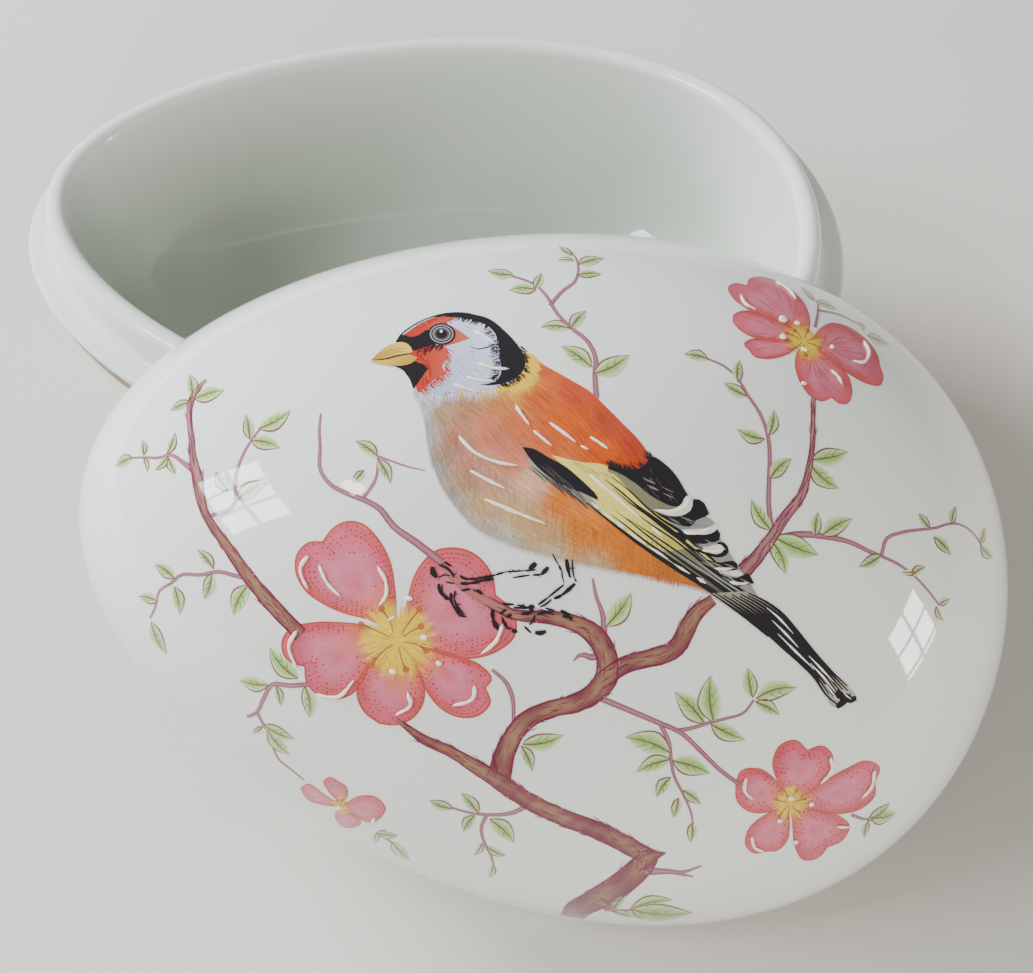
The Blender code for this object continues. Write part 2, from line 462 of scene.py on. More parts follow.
def porcelain(name, body, cloud, speck, pooled_shade):
    material, tree, shader = new_finish(name)
    glaze = node(tree, "Group", node_tree=glaze_group)
    pool_shade = node(tree, "Attribute", attribute_name="pool_shade")
    # Inside the bowl the colour turns to the pooled tint: greener glaze in the hollow, plus painted
    # shade that darkens it.
    tree.links.new(mixed(tree, pool_shade.outputs["Fac"], body, pooled_shade), glaze.inputs["Body"])
    glaze.inputs["Cloud"].default_value = cloud
    glaze.inputs["Speck"].default_value = speck
    tree.links.new(glaze.outputs["Color"], shader.inputs["Base Color"])
    tree.links.new(glaze.outputs["Normal"], shader.inputs["Normal"])
    tree.links.new(
        maths(tree, "ADD", glaze.outputs["Roughness"], 0.3), shader.inputs["Roughness"])
    return material


def printed(name, grain):
    """Ceramic ink. Its colour is the tone painted on the mesh."""
    material, tree, shader = new_finish(name)
    tone = node(tree, "Attribute", attribute_name="tone")
    grained = node(tree, "Group", node_tree=print_group)
    grained.inputs["Grain"].default_value = grain
    tree.links.new(tone.outputs["Color"], grained.inputs["Tone"])
    tree.links.new(grained.outputs["Color"], shader.inputs["Base Color"])
    tree.links.new(grained.outputs["Roughness"], shader.inputs["Roughness"])
    return material


def gilding(name):
    material, tree, shader = new_finish(name, coat=0.0)
    worn = maths(tree, "MULTIPLY_ADD", noise(tree, 160, detail=5), 3.2, -1.3, clamp=True)
    bright, brown = srgb(134, 104, 46), srgb(84, 62, 32)
    tree.links.new(mixed(tree, worn, bright, brown), shader.inputs["Base Color"])
    tree.links.new(maths(tree, "MULTIPLY_ADD", worn, 0.35, 0.2), shader.inputs["Roughness"])
    tree.links.new(
        maths(tree, "SUBTRACT", 1.0, maths(tree, "MULTIPLY", worn, 0.5)),
        shader.inputs["Metallic"])
    return material


def raised_enamel(name):
    material, tree, shader = new_finish(name)
    lumps = noise(tree, 1500)
    tree.links.new(bumped(tree, lumps, 0.35, 0.0002), shader.inputs["Normal"])
    tree.links.new(
        mixed(tree, lumps, srgb(252, 246, 238), srgb(240, 226, 214)), shader.inputs["Base Color"])
    shader.inputs["Roughness"].default_value = 0.3
    return material


# The pooled tint is a greener, darker white: partly glaze pooled in the bowl, partly painted shade
# and reflection inside it.
POOLED_AND_SHADED = srgb(174, 182, 150)
SPECKS = 0.03
lid_glaze = porcelain("lid_glaze", srgb(229, 230, 225), srgb(222, 226, 226), SPECKS, POOLED_AND_SHADED)
base_glaze = porcelain("base_glaze", srgb(228, 229, 224), srgb(214, 221, 217), SPECKS, POOLED_AND_SHADED)
fired_ink = printed("fired_ink", 0.3)
gold = gilding("worn_gilding")
enamel = raised_enamel("raised_enamel")

# %% [markdown]
# ## Porcelain and gold in place
#
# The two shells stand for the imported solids. The gilt line is a band that hugs the wall of
# the bowl just under the shoulder: its section is drawn as rings too, and the last ring is
# bridged back to the first.

# %% The shells and the gilt line
base_piece = finish_piece(base_mesh, "base_porcelain", base_place, base_glaze, sharp=50)
lid_piece = finish_piece(lid_mesh, "lid_porcelain", lid_place, lid_glaze, sharp=50)

GILT_WIDTH = 2.8
GILT_PROUD = 0.08
gilt_top = SHOULDER_DROP + 0.3
gilt_start = turn_at(gilt_top / BOWL_DEPTH, OUTER_POWER)
gilt_end = turn_at((gilt_top + GILT_WIDTH) / BOWL_DEPTH, OUTER_POWER)
outside = dome_rings(
    SHOULDER_DEPTH - GILT_PROUD, LEDGE_HEIGHT, pole, OUTER_POWER, gilt_start, gilt_end, 3)
inside = dome_rings(
    SHOULDER_DEPTH + GILT_PROUD, LEDGE_HEIGHT, pole, OUTER_POWER, gilt_end, gilt_start, 3)
gilt_piece = finish_piece(
    draw_shell(outside + inside, closed_loop=True), "gilt_band", base_place, gold, sharp=50)

for piece, body, cad_node, slot in (
        (base_piece, "base", "base_shell", "base_porcelain"),
        (lid_piece, "lid", "lid_shell", "lid_porcelain"),
        (gilt_piece, "base", "gilt_line", "gilding")):
    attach(piece, body)
    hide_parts(cad_node)

# %% [markdown]
# ## Drawing flat, then pressing on
#
# A ceramic transfer is printed on flat paper, then pressed on the curved lid, where it
# stretches to fit. The same is done here. Every mark is a small grid bent into shape in the
# plan of the lid, in millimetres, with its height used for the lift: how far the film lies
# above the glaze. When a whole colour is drawn, all its points are pressed on the dome in
# one go. A film a few hundredths of a millimetre thick is what the real print is.
#
# A mark runs along a smooth path. The path passes through a few given points, and its
# slope at each of them is taken from the points on both sides.

# %% Smooth paths
def smooth_path(points, step=0.8):
    """Points about a step apart on a smooth curve, and how far along the list each is."""
    points = np.array(points, float)
    gaps = np.maximum(np.linalg.norm(np.diff(points, axis=0), axis=1), 1e-6)
    travel = np.concatenate([[0.0], np.cumsum(gaps)])
    slopes = np.gradient(points, travel, axis=0)
    count = max(1, int(round(travel[-1] / step)))
    where = np.linspace(0, travel[-1], count + 1)
    k = np.clip(np.searchsorted(travel, where, side="right") - 1, 0, len(gaps) - 1)
    t = ((where - travel[k]) / gaps[k])[:, None]
    gap = gaps[k][:, None]
    path = (
        (2 * t ** 3 - 3 * t ** 2 + 1) * points[k] + (t ** 3 - 2 * t ** 2 + t) * gap * slopes[k]
        + (3 * t ** 2 - 2 * t ** 3) * points[k + 1] + (t ** 3 - t ** 2) * gap * slopes[k + 1])
    return path, k + t[:, 0]


def even_path(points, count):
    """A smooth path cut into a fixed number of equal steps."""
    path = smooth_path(points, 0.25)[0]
    gaps = np.linalg.norm(np.diff(path, axis=0), axis=1)
    travel = np.concatenate([[0.0], np.cumsum(gaps)])
    where = np.linspace(0, travel[-1], count + 1)
    return np.stack([np.interp(where, travel, path[:, i]) for i in (0, 1)], axis=-1)


def path_length(points):
    return np.linalg.norm(np.diff(np.array(points, float), axis=0), axis=1).sum()


def left_of(path):
    """The unit direction to the left of a path, at each of its points."""
    run = np.gradient(path, axis=0)
    run /= np.maximum(np.linalg.norm(run, axis=1, keepdims=True), 1e-9)
    return np.stack([-run[:, 1], run[:, 0]], axis=-1)


# %% [markdown]
# A sheet collects the marks of one kind. `patch` makes nearly all of the mesh: it adds a
# grid, asks for the plan position of each of its points, and paints its tone there. The
# sheets lie on each other in the order of the list of lifts. Within a sheet every mark lies a
# hair above the last one, so that where two cross, the later one is on top.

# %% Sheets of marks
PAGE_POINTS = 1500
FILM_STEP = 0.003
HAIR = 0.000002
LIFTS = {
    "petals": 0.02, "petal_lines": 0.026, "hearts": 0.036, "twigs": 0.037, "branches": 0.04,
    "leaf_wash": 0.044, "bark": 0.048, "leaf_lines": 0.05, "body": 0.058, "barbs": 0.066,
    "head": 0.078, "wing": 0.09, "enamel": 0.15,
}


def between(first, second, share):
    """A value or colour that is part of the way from the first to the second."""
    return first * (1 - share) + second * share


class Sheet:
    """Marks of one kind, drawn flat: x and y in the plan of the lid, z the lift."""

    def __init__(self, lift):
        self.lift = lift
        self.pages = []
        self.new_page()

    def new_page(self):
        self.bm = bmesh.new()
        self.tone = self.bm.verts.layers.float_color.new("tone")

    def turn_page(self):
        """Keep the full page as a mesh. Operators are slow on a big bmesh."""
        page = bpy.data.meshes.new("page")
        self.bm.to_mesh(page)
        self.bm.free()
        self.pages.append(page)
        self.new_page()

    def bind(self):
        """All the pages as one bmesh."""
        self.turn_page()
        for page in self.pages:
            self.bm.from_mesh(page)
            bpy.data.meshes.remove(page)
        return self.bm

    def next_film(self):
        """Marks from here on lie clear of those below them."""
        self.lift += FILM_STEP

    def patch(self, along, across, place, tone, weld=False):
        """A bent grid. place(i, v) gives points from a step number and -1 to 1 across."""
        if len(self.bm.verts) > PAGE_POINTS:
            self.turn_page()
        grid = bmesh.ops.create_grid(self.bm, x_segments=along, y_segments=across, size=0.5)
        verts = grid["verts"]
        flat = np.array([vert.co for vert in verts])
        i = np.rint((flat[:, 0] + 0.5) * along).astype(int)
        v = flat[:, 1] * 2
        points = place(i, v)
        colours = tone(points, i / along, v) if callable(tone) else np.tile(tone[:3], (len(v), 1))
        height = self.lift
        if points.shape[1] == 3:
            height = points[:, 2] + self.lift
        else:
            self.lift += HAIR
        for vert, point, colour, z in zip(
                verts, points, colours, np.broadcast_to(height, len(v))):
            vert.co = (point[0], point[1], z)
            vert[self.tone] = (*colour, 1.0)
        if weld:
            bmesh.ops.remove_doubles(self.bm, verts=verts, dist=0.002)


def stroke(sheet, points, widths, tone, step=0.8, across=1):
    """A line of ink. The widths are spread evenly over the given points."""
    path, station = smooth_path(points, step)
    side = left_of(path)
    posts = np.linspace(0, len(points) - 1, len(widths))
    half = np.interp(station, posts, widths)[:, None] / 2

    def place(i, v):
        return path[i] + side[i] * half[i] * v[:, None]

    sheet.patch(len(path) - 1, across, place, tone)


def panel(sheet, first, second, tone, step=0.9):
    """A patch of colour between two smooth edges that run the same way."""
    along = max(2, int(round(max(path_length(first), path_length(second)) / step)))
    one, two = even_path(first, along), even_path(second, along)
    across = max(1, int(round(np.linalg.norm(one - two, axis=1).max() / step)))

    def place(i, v):
        return between(one[i], two[i], (v[:, None] + 1) / 2)

    sheet.patch(along, across, place, tone)


# %% [markdown]
# Pressing needs, for each plan point, which scaled copy of the egg outline passes through
# it. The outline's swell depends on that scale, so it is found by trying again and again:
# each try uses the last answer, and two dozen tries are plenty. The dome's height and its
# true normal follow, and the normals go on the mesh too, so a reflection runs over print
# and porcelain without a break.

# %% Pressing on the dome
def dome_height(x, y):
    scale = np.maximum(np.hypot(x / HALF_LENGTH, y / HALF_WIDTH), 1e-5)
    for _ in range(24):
        c = np.clip(x / (HALF_LENGTH * scale), -1, 1)
        swell = 1 + BLUNTNESS * c + END_FULLNESS * c * c
        scale = np.maximum(np.hypot(x / HALF_LENGTH, y / (HALF_WIDTH * swell)), 1e-5)
    rise = (1 - np.minimum(scale, 0.9999) ** OUTER_POWER) ** (1 / OUTER_POWER)
    return RIM_RADIUS + (LID_HEIGHT - RIM_RADIUS) * rise


def dome_normal(x, y, reach=0.05):
    slope_x = (dome_height(x + reach, y) - dome_height(x - reach, y)) / (2 * reach)
    slope_y = (dome_height(x, y + reach) - dome_height(x, y - reach)) / (2 * reach)
    normal = np.stack([-slope_x, -slope_y, np.ones_like(x)], axis=-1)
    return normal / np.linalg.norm(normal, axis=-1, keepdims=True)


def press(sheet, name, material, film=True):
    """Press a sheet on the lid. A film takes the dome's normals, and an enamel its own."""
    bm = sheet.bind()
    if film:
        bm.normal_update()
        face_down = [face for face in bm.faces if face.normal.z < 0]
        bmesh.ops.reverse_faces(bm, faces=face_down)
    flat = np.array([vert.co for vert in bm.verts])
    x, y, lift = flat.T
    normals = dome_normal(x, y)
    solid = np.stack([x, y, dome_height(x, y)], axis=-1) + normals * lift[:, None]
    for vert, co in zip(bm.verts, solid):
        vert.co = co
    if not film:
        bmesh.ops.recalc_face_normals(bm, faces=bm.faces)
    piece = finish_piece(bm, name, lid_place, material)
    if film:
        turned = normals @ np.array(lid_place.to_3x3()).T
        piece.data.normals_split_custom_set_from_vertices(turned.tolist())
    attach(piece, "lid")
    return piece


# %% [markdown]
# ## Branches
#
# The branch is printed in two inks: a grey-tan wood, and a mauve-brown that is darkest at
# the two edges and runs over the wood in short dashes like bark. Each length of branch is a
# stroke with several points across, so the tone can change from edge to middle. Knots and
# bark come from a wobble in its width.

# %% The wood
WOOD_EDGE = ink(112, 42, 62)
WOOD_CORE = ink(146, 112, 90)
WOOD_HALO = ink(172, 110, 124)
TWIG = ink(170, 118, 130)
TWIG_EDGE = ink(118, 60, 78)
FAINT_WOOD = ink(188, 112, 112)
chance = np.random.default_rng(5)

BRANCHES = [
    ([(10, -40.4), (10.2, -38.5), (11.5, -36.5), (13.5, -34), (15, -31.5), (15.9, -29.5),
      (16.3, -28.8)], (2.8, 3.2, 3.2, 3.3, 3.0, 2.4, 0.6)),
    ([(14.4, -30.6), (16, -29.6), (17.5, -28.9)], (2.8, 1.7, 0.1)),
    ([(11.8, -36.6), (13.2, -37.2), (14.3, -37.2)], (1.6, 0.9, 0.1)),
    ([(15.6, -29.6), (10, -27.6), (6, -26.7), (2, -25.6), (-1, -24.2), (-4, -22.9), (-7, -21.7),
      (-10, -20.9), (-13.5, -19.2)], (2.0, 2.1, 1.9, 1.9, 1.9, 1.6, 1.2, 1.1, 0.4)),
    ([(-1.8, -23.6), (-1.4, -19.5), (-0.2, -17), (2, -15.3), (4.5, -14.2), (6.3, -12.8),
      (7.3, -11), (6.9, -8.8), (5.3, -6.9), (3, -6), (0, -5.9), (-3, -6.2), (-6, -5.4),
      (-9, -4.2), (-11.5, -2.4)],
     (2.6, 2.0, 2.0, 1.8, 1.9, 2.2, 2.4, 2.2, 2.2, 1.7, 1.4, 1.1, 1.0, 0.8, 0.7)),
    ([(6.6, -11.6), (9, -9.3), (11.5, -8.2), (13.8, -6.9), (14.6, -4.8), (15.3, -2.9),
      (16.9, -1.2)], (1.8, 1.8, 1.9, 1.9, 1.9, 1.6, 1.2)),
    ([(18.6, 0.6), (19.8, 2.5), (21, 4.3), (22.2, 6.5), (23.4, 9), (24.6, 11), (25.1, 13.5),
      (25.3, 17), (25.1, 20), (25, 22.2)], (1.7, 1.6, 1.4, 1.2, 1.1, 0.9, 0.7, 0.6, 0.5, 0.5)),
    ([(-24.9, -12.2), (-28.5, -9.6), (-31, -7.6), (-33.5, -5.3), (-35.5, -3.4), (-37.5, -1.4),
      (-38.6, 0.5), (-39.3, 2.4), (-40.2, 4.2), (-41, 6.5), (-42, 9), (-42.3, 10.8),
      (-41.9, 12.2), (-41.2, 13.4)],
     (1.6, 1.6, 1.4, 1.2, 1.0, 0.9, 1.1, 1.3, 0.8, 0.7, 0.6, 0.8, 0.6, 0.4)),
]


def over_petal(points):
    """1 where the branch crosses the big blossom, and 0 elsewhere."""
    return ((points[:, 1] > -8) & (points[:, 0] > -14) & (points[:, 0] < -4)).astype(float)


def wood_tone(points, u, v):
    """Mauve at the edges and tan in the middle, with uneven patches."""
    patchy = 0.3 * np.sin(points[:, 0] * 0.9 + points[:, 1] * 0.7)
    patchy += 0.15 * np.sin(points[:, 0] * 3.1 - points[:, 1] * 2.3)
    old = np.clip((-21 - points[:, 1]) / 8, 0, 1)
    edge = np.clip(np.abs(v) ** 1.5 * 1.1 + 0.05 + 0.3 * old + patchy, 0, 1)[:, None]
    young = np.clip((points[:, 1] + 2) / 14, 0, 0.7)[:, None]
    faint = 0.62 * np.clip((-3.5 - points[:, 0]) / 4, 0, 1) * over_petal(points)
    wood = between(between(WOOD_CORE, WOOD_EDGE, edge), TWIG, young)
    return between(wood, FAINT_WOOD, faint[:, None])


branches = Sheet(LIFTS["branches"])
bark = Sheet(LIFTS["bark"])
for points, widths in BRANCHES:
    stroke(branches, points, widths, wood_tone, step=0.6, across=4)
    path, station = smooth_path(points, 0.35)
    side = left_of(path)
    width = np.interp(station, range(len(widths)), widths)
    clear = over_petal(path) == 0
    for i in np.flatnonzero(clear[:-5]):
        offset = chance.uniform(-0.5, 0.5) * width[i]
        drift = chance.uniform(-0.2, 0.2) * width[i]
        dash = [path[i + j] + side[i + j] * (offset + drift * j / 4) for j in (0, 2, 4)]
        darker = WOOD_EDGE * chance.uniform(0.6, 1.6)
        stroke(bark, dash, (0.02, 0.1, 0.02), darker, step=0.7)
    for flank in (-1, 1):
        for i in np.flatnonzero(clear[:-7])[::4]:
            reach = chance.uniform(0.42, 0.5, 3) * flank
            line = [path[i + j] + side[i + j] * width[i + j] * r
                    for j, r in zip((0, 3, 7), reach)]
            mauve = WOOD_EDGE * chance.uniform(0.75, 1.25)
            heavy = chance.uniform(0.14, 0.3) * min(1.0, 0.2 + width[i] / 2.4)
            stroke(bark, line, (0.08, heavy, 0.08), mauve, step=0.7)
            if chance.uniform() < 0.3:
                tip = line[1] + side[i + 3] * flank * chance.uniform(0.1, 0.3)
                tip = tip + (path[i + 3] - path[i])
                stroke(bark, [line[1], tip], (0.22, 0.03), WOOD_HALO, step=0.8)
press(branches, "branch_print", fired_ink)

# %% [markdown]
# ## Twigs
#
# Twigs are at most a millimetre wide and taper to a hair. Their ink is a paler mauve.

# %% The twigs
TWIGS = [
    ([(-11.5, -2.2), (-14.5, -0.6), (-17, 0.6), (-19, 2.3), (-20.5, 2.8), (-22.5, 3.2),
      (-24.5, 3.9), (-25.8, 5.2), (-26.3, 7.5), (-26.8, 9.5), (-27, 11.2)], (0.9, 0.6, 0.3)),
    ([(22, 5.9), (25, 7.1), (28, 7.4), (31, 7.3), (33.5, 6.7), (34.8, 6.5), (37, 6), (38.8, 5.3),
      (41, 4), (43, 2.5)], (0.9, 0.6, 0.4, 0.3)),
    ([(34.8, 6.5), (35.2, 8.5), (37, 9.5), (39.5, 10.3), (41.5, 10.9), (43, 11.6), (44.6, 11.9),
      (46.5, 11.5), (48.5, 10.2)], (0.45, 0.35, 0.25)),
    ([(22, 6.9), (21.2, 9.8), (20.9, 12.5), (20.7, 14.5), (20.2, 17), (19, 19.3), (17.5, 21),
      (16.3, 22.6), (14.5, 23.8), (12.8, 24.2), (10.5, 24.3)], (0.6, 0.45, 0.25)),
    ([(-39.6, 2.8), (-41.5, 3.8), (-43, 4.4), (-44.5, 3.9), (-46.5, 3.7), (-48.5, 3.4)],
     (0.6, 0.4, 0.25)),
    ([(-31.3, -7.4), (-33, -7.3), (-35, -7.2), (-37, -7.9), (-39.5, -8.4), (-40.3, -9.3),
      (-41.8, -10.5), (-42.2, -12.5), (-42.8, -13.8)], (0.5, 0.4, 0.3)),
    ([(-37.2, -1.6), (-34.5, 0), (-34.9, 3), (-34.6, 5.5), (-34, 7.2), (-33, 9), (-31.8, 10)],
     (0.45, 0.35, 0.2)),
    ([(-23.3, -17.3), (-25.5, -17.9), (-27.3, -18.1), (-28.2, -20), (-28.9, -21.8), (-30, -22.5)],
     (0.55, 0.6, 0.45)),
    ([(-28.7, -21.8), (-28.3, -22.5), (-27.5, -23.5), (-26.8, -25), (-26, -26.7), (-24.5, -27.6),
      (-22.8, -28.6)], (0.4, 0.35, 0.25)),
    ([(15.4, -31.6), (18, -31.2), (20.2, -30.9), (21.8, -29.9)], (1.2, 0.6, 0.25)),
    ([(18.4, -31.2), (21.3, -31.4)], (0.5, 0.25)),
    ([(7, -13.2), (10, -13.9), (13.3, -14.7), (16, -15.4), (18.5, -17), (21, -18.7),
      (23.5, -20)], (0.7, 0.6, 0.6)),
    ([(15.5, -15.3), (17, -14.8), (18.6, -14), (20.5, -13.2), (22.3, -12.3), (23.1, -10.8)],
     (0.5, 0.4, 0.3)),
    ([(13.8, -15), (15, -16.6), (15.6, -18.4), (16.3, -20.1), (17.6, -21.8), (19, -23.8),
      (19.7, -25.5)], (0.5, 0.4, 0.25)),
    ([(1.8, -26), (0.3, -27.2), (-2, -27.9), (-4, -28.1), (-6.5, -27.9)], (0.6, 0.45, 0.3)),
    ([(-2.3, -28), (-2.6, -29.7), (-2, -31.3), (-1, -32.8), (-0.4, -34.2)], (0.45, 0.3)),
    ([(1.5, 17.6), (1, 20), (0.8, 22), (-0.3, 23.8), (-2.3, 25.1), (-4.2, 26.8), (-5.2, 28.3),
      (-6.8, 29.8), (-9.5, 30.6), (-12, 30.9)], (0.6, 0.5, 0.3)),
    ([(-4.9, 27.4), (-3.8, 29.5), (-2.6, 31), (-2.4, 33), (-3, 34.8), (-4, 36)], (0.45, 0.35, 0.2)),
    ([(-4.5, -12.2), (-2.8, -13.3), (-2, -14.5), (-1.3, -17.5)], (0.35, 0.6, 0.5)),
    ([(6.3, -7.2), (5.8, -4.8), (4.7, -2.8), (4.1, -1.2)], (0.8, 0.5, 0.3)),
    ([(-20, 7.6), (-16.5, 7), (-14.8, 6.9)], (0.25, 0.12)),
    ([(-20.8, 2.9), (-19.8, 5.2), (-20, 7.6)], (0.4, 0.25)),
    ([(25, 31), (25.5, 33), (25.8, 35)], (0.4, 0.25)),
    ([(25.6, 33.6), (28.5, 33.9), (31.5, 33.2)], (0.3, 0.18)),
    ([(-12.9, -32.7), (-13.8, -33.2), (-12, -34.2), (-10.4, -35.8)], (0.4, 0.25)),
    ([(37.5, -21.9), (40, -22.3), (41.8, -21.2)], (0.4, 0.2)),
    ([(12.6, -37.3), (14, -37.8), (16, -37.2), (19.5, -36.4)], (0.7, 0.4, 0.2)),
    ([(6.5, -8.6), (5.4, -9.2), (4.2, -9.1), (3.6, -9.9)], (1.0, 0.7, 0.2)),
    ([(7.4, -12.2), (8.3, -11.3), (8.1, -10.2)], (0.8, 0.25)),
    ([(3.3, -15.6), (2.7, -14.5), (3.2, -13.6)], (0.8, 0.2)),
]
twigs = Sheet(LIFTS["twigs"])


def twig_tone(points, u, v):
    """Pale down the middle, with a darker line along each side."""
    return between(TWIG, TWIG_EDGE, np.abs(v)[:, None])


for points, widths in TWIGS:
    widths = np.array(widths) * np.linspace(0.95, 0.72, len(widths))
    stroke(twigs, points, widths, twig_tone, step=0.7, across=4)
press(twigs, "twig_print", fired_ink)
press(bark, "bark_print", fired_ink)

# %% [markdown]
# ## Leaves
#
# A leaf is a wash of pale green inside two bowed edges, paler towards its rim, with a brown
# midrib, a line down one side only, and on the larger leaves two pairs of short veins. The
# wash and the lines are separate inks, printed one over the other. Each leaf in the list is
# its base and its tip, and chance gives its bow and its width.

# %% The leaves
LEAF = ink(142, 184, 94)
LEAF_PALE = ink(198, 216, 170)
LEAF_DARK = ink(106, 148, 66)
VEIN = ink(122, 82, 74)

LEAVES = [
    (6.3, -5.8, 8.3, -2), (0.9, 20.2, 4.3, 23), (0.5, 20.9, -3, 22.7), (-2.3, 25, -0.9, 27.4),
    (-2.4, 25, -5.5, 24.6), (-6.9, 29.3, -6.4, 31.6), (-6.7, 29.2, -9.6, 28.7),
    (-9.5, 30.8, -12.5, 31), (-2.5, 33.5, 0.3, 35), (-2.4, 32, 0.2, 32.6), (-3, 34, -4.8, 33.7),
    (-3.3, 34.8, -4.9, 36.2), (12.8, 24.2, 10.2, 24.2), (16.3, 22.2, 16.3, 24.8),
    (17.4, 20.8, 14.8, 21.8), (20.3, 17, 20.6, 19.9), (19.9, 16.5, 16.8, 17),
    (21, 12.4, 23.1, 15), (25.4, 15.3, 29.5, 17), (25.2, 14.8, 28.8, 12.8), (21.9, 7, 19.3, 9.8),
    (26.8, 7.3, 26.8, 9.8), (27.6, 7.5, 30.8, 9.9), (22.4, 6.3, 27.5, 5.3), (22, 6, 24.2, 2.7),
    (34.8, 6.6, 32.3, 4.9), (39.2, 5.6, 37.6, 5.3), (38.8, 5, 40.5, 6.3), (40.5, 10.6, 38.9, 12),
    (43.5, 11.6, 44, 13.8), (41.2, 9.8, 43.8, 8.2), (48, 10.4, 48.8, 12.3),
    (48.2, 10.2, 50.6, 9.2), (42.9, 2.5, 44.4, 3.4), (42.6, 2.3, 43.9, 0.9),
    (-42.2, 11, -43.6, 13.9), (-41.9, 11, -38.6, 12.4), (-42.4, 10.6, -44.6, 9.3),
    (-43.6, 4.4, -43.2, 6.9), (-43.4, 4.2, -44.6, 2.5), (-43.2, 4, -42, 2.4),
    (-46.6, 3.9, -47.3, 5.6), (-46.5, 3.6, -45.6, 2.2), (-48, 3.5, -50.3, 2.2),
    (-34.2, 7.3, -35.3, 10), (-33.5, 8.6, -30.4, 11.1), (-34, 7.2, -30.7, 6.9),
    (-35.5, 1.5, -37.3, 3.4), (-34.3, 0.6, -31.2, 3.1), (-35.6, -7, -37.8, -5.3),
    (-35.7, -7.5, -36.2, -10.4), (-40.1, -8.8, -42.7, -7.7), (-40, -9.7, -39, -12.6),
    (-31.4, -8, -32.6, -11.5), (-41.9, -11.7, -44.5, -11.6), (-42.6, -14.2, -40.4, -17.5),
    (-24.6, -16.9, -28.1, -14.2), (-27.8, -18.3, -31.2, -18.4), (-26.9, -18.2, -26.2, -20.3),
    (-23.7, -17.6, -22.8, -21), (-27.9, -23, -24.3, -23.8), (-27.4, -23.4, -24.6, -25.8),
    (-28, -23.2, -29.2, -24.3), (-13.8, -33.2, -14, -35), (-13.9, -33.2, -11.5, -32.9),
    (-12, -34, -9.7, -36.3), (0, -19.4, 4, -17.7), (-0.1, -19.6, 1.5, -22.1),
    (-3.2, -28, -5.4, -26), (-6, -28, -8.6, -27.6), (-3.5, -28.3, -4.4, -30.6),
    (-1.9, -28.4, 1.2, -30.7), (-2.2, -31.5, -2.8, -33.2), (-1.6, -31.8, 0.6, -32.5),
    (-0.5, -34.2, -0.6, -36), (18.3, -14, 14.6, -11.3), (19.3, -13.8, 18, -9),
    (19, -14, 23, -15.1), (22.9, -10.6, 21.8, -7.6), (23.3, -10.6, 27.5, -8.8),
    (23.3, -11, 26.2, -12), (15.4, -17.7, 10.4, -16.8), (15.5, -18.4, 12.3, -20.3),
    (15.8, -18.5, 20, -19.2), (16, -20.3, 15, -22.7), (17.6, -21.5, 19.8, -22.7),
    (17.3, -22.4, 17.3, -24.7), (19.4, -25, 19.8, -27.2), (13.9, -37.7, 14.7, -35),
    (14, -37.9, 16.3, -38.5), (15.8, -37, 20, -34.9), (16, -37.1, 23, -36.6),
    (16, -37.2, 18, -38.6), (25.5, 34.8, 28.2, 34.6), (25.3, 35, 24, 36.8),
    (31.3, 33.8, 31.6, 32.5), (32, 32, 35, 31.8), (40, -22.6, 42.2, -20.2),
    (40.1, -22, 43.6, -21.3), (40, -22.6, 40.3, -24.6), (-20.1, 7.6, -22.7, 8.8),
    (-20, 7.3, -18.2, 5), (-21.2, 5.9, -22.2, 4.4),
]


def leaf_edge(base, reach, aside, bow, side, fat):
    """One bowed edge of a leaf, from its base to its tip."""
    return [base + reach * s + aside * (bow * math.sin(math.pi * s) + side * w)
            for s, w in ((0, 0), (0.15, 0.6 * fat), (0.4, fat), (0.7, 0.72 * fat), (1, 0))]


def leaf_tone(points, u, v):
    rim = np.clip(np.abs(v) ** 2 + (u - 0.75).clip(0) * 1.6, 0, 1)[:, None]
    heart = np.clip(1 - np.abs(v) * 3, 0, 1)[:, None] * 0.5
    return between(between(LEAF, LEAF_PALE, rim), LEAF_DARK, heart)


leaf_wash = Sheet(LIFTS["leaf_wash"])
leaf_lines = Sheet(LIFTS["leaf_lines"])
for bx, by, tx, ty in LEAVES:
    base, tip = np.array((bx, by)), np.array((tx, ty))
    reach = tip - base
    aside = np.array((-reach[1], reach[0]))
    bow = chance.choice((-1, 1)) * chance.uniform(0.03, 0.09)
    fat = chance.uniform(0.19, 0.24)
    rib = [base + reach * s + aside * bow * math.sin(math.pi * s) for s in (0, 0.3, 0.6, 1)]
    size = np.linalg.norm(reach)

    near, far = (leaf_edge(base, reach, aside, bow, side, fat) for side in (1, -1))
    panel(leaf_wash, near, far, leaf_tone, step=0.55)
    stroke(leaf_lines, rib, (0.12, 0.2, 0.14, 0.03), VEIN, step=0.6)
    lined = leaf_edge(base, reach, aside, bow, chance.choice((-1, 1)), fat * 1.12)
    stroke(leaf_lines, lined, (0.06, 0.19, 0.13, 0.03), VEIN, step=0.6)
    if size > 2.4:
        for share in (0.35, 0.55):
            for side in (-1, 1):
                root = base + reach * share
                end = base + reach * (share + 0.2) + aside * side * fat * 0.62
                stroke(leaf_lines, [root, end], (0.1, 0.03), LEAF_DARK * 0.8, step=0.8)
press(leaf_wash, "leaf_wash", fired_ink)
press(leaf_lines, "leaf_lines", fired_ink)

# %% [markdown]
# ## Blossoms
#
# A blossom has four or five notched petals round a yellow heart. A petal isn't a simple
# strip, because its two lobes curl back to the notch, so it is a grid bent round a focus
# inside the petal: one way it runs round the outline, and the other from the focus out to
# the rim. The seam and the point at the focus are welded. Each outline is two edges, both
# from the base of the petal to its notch.

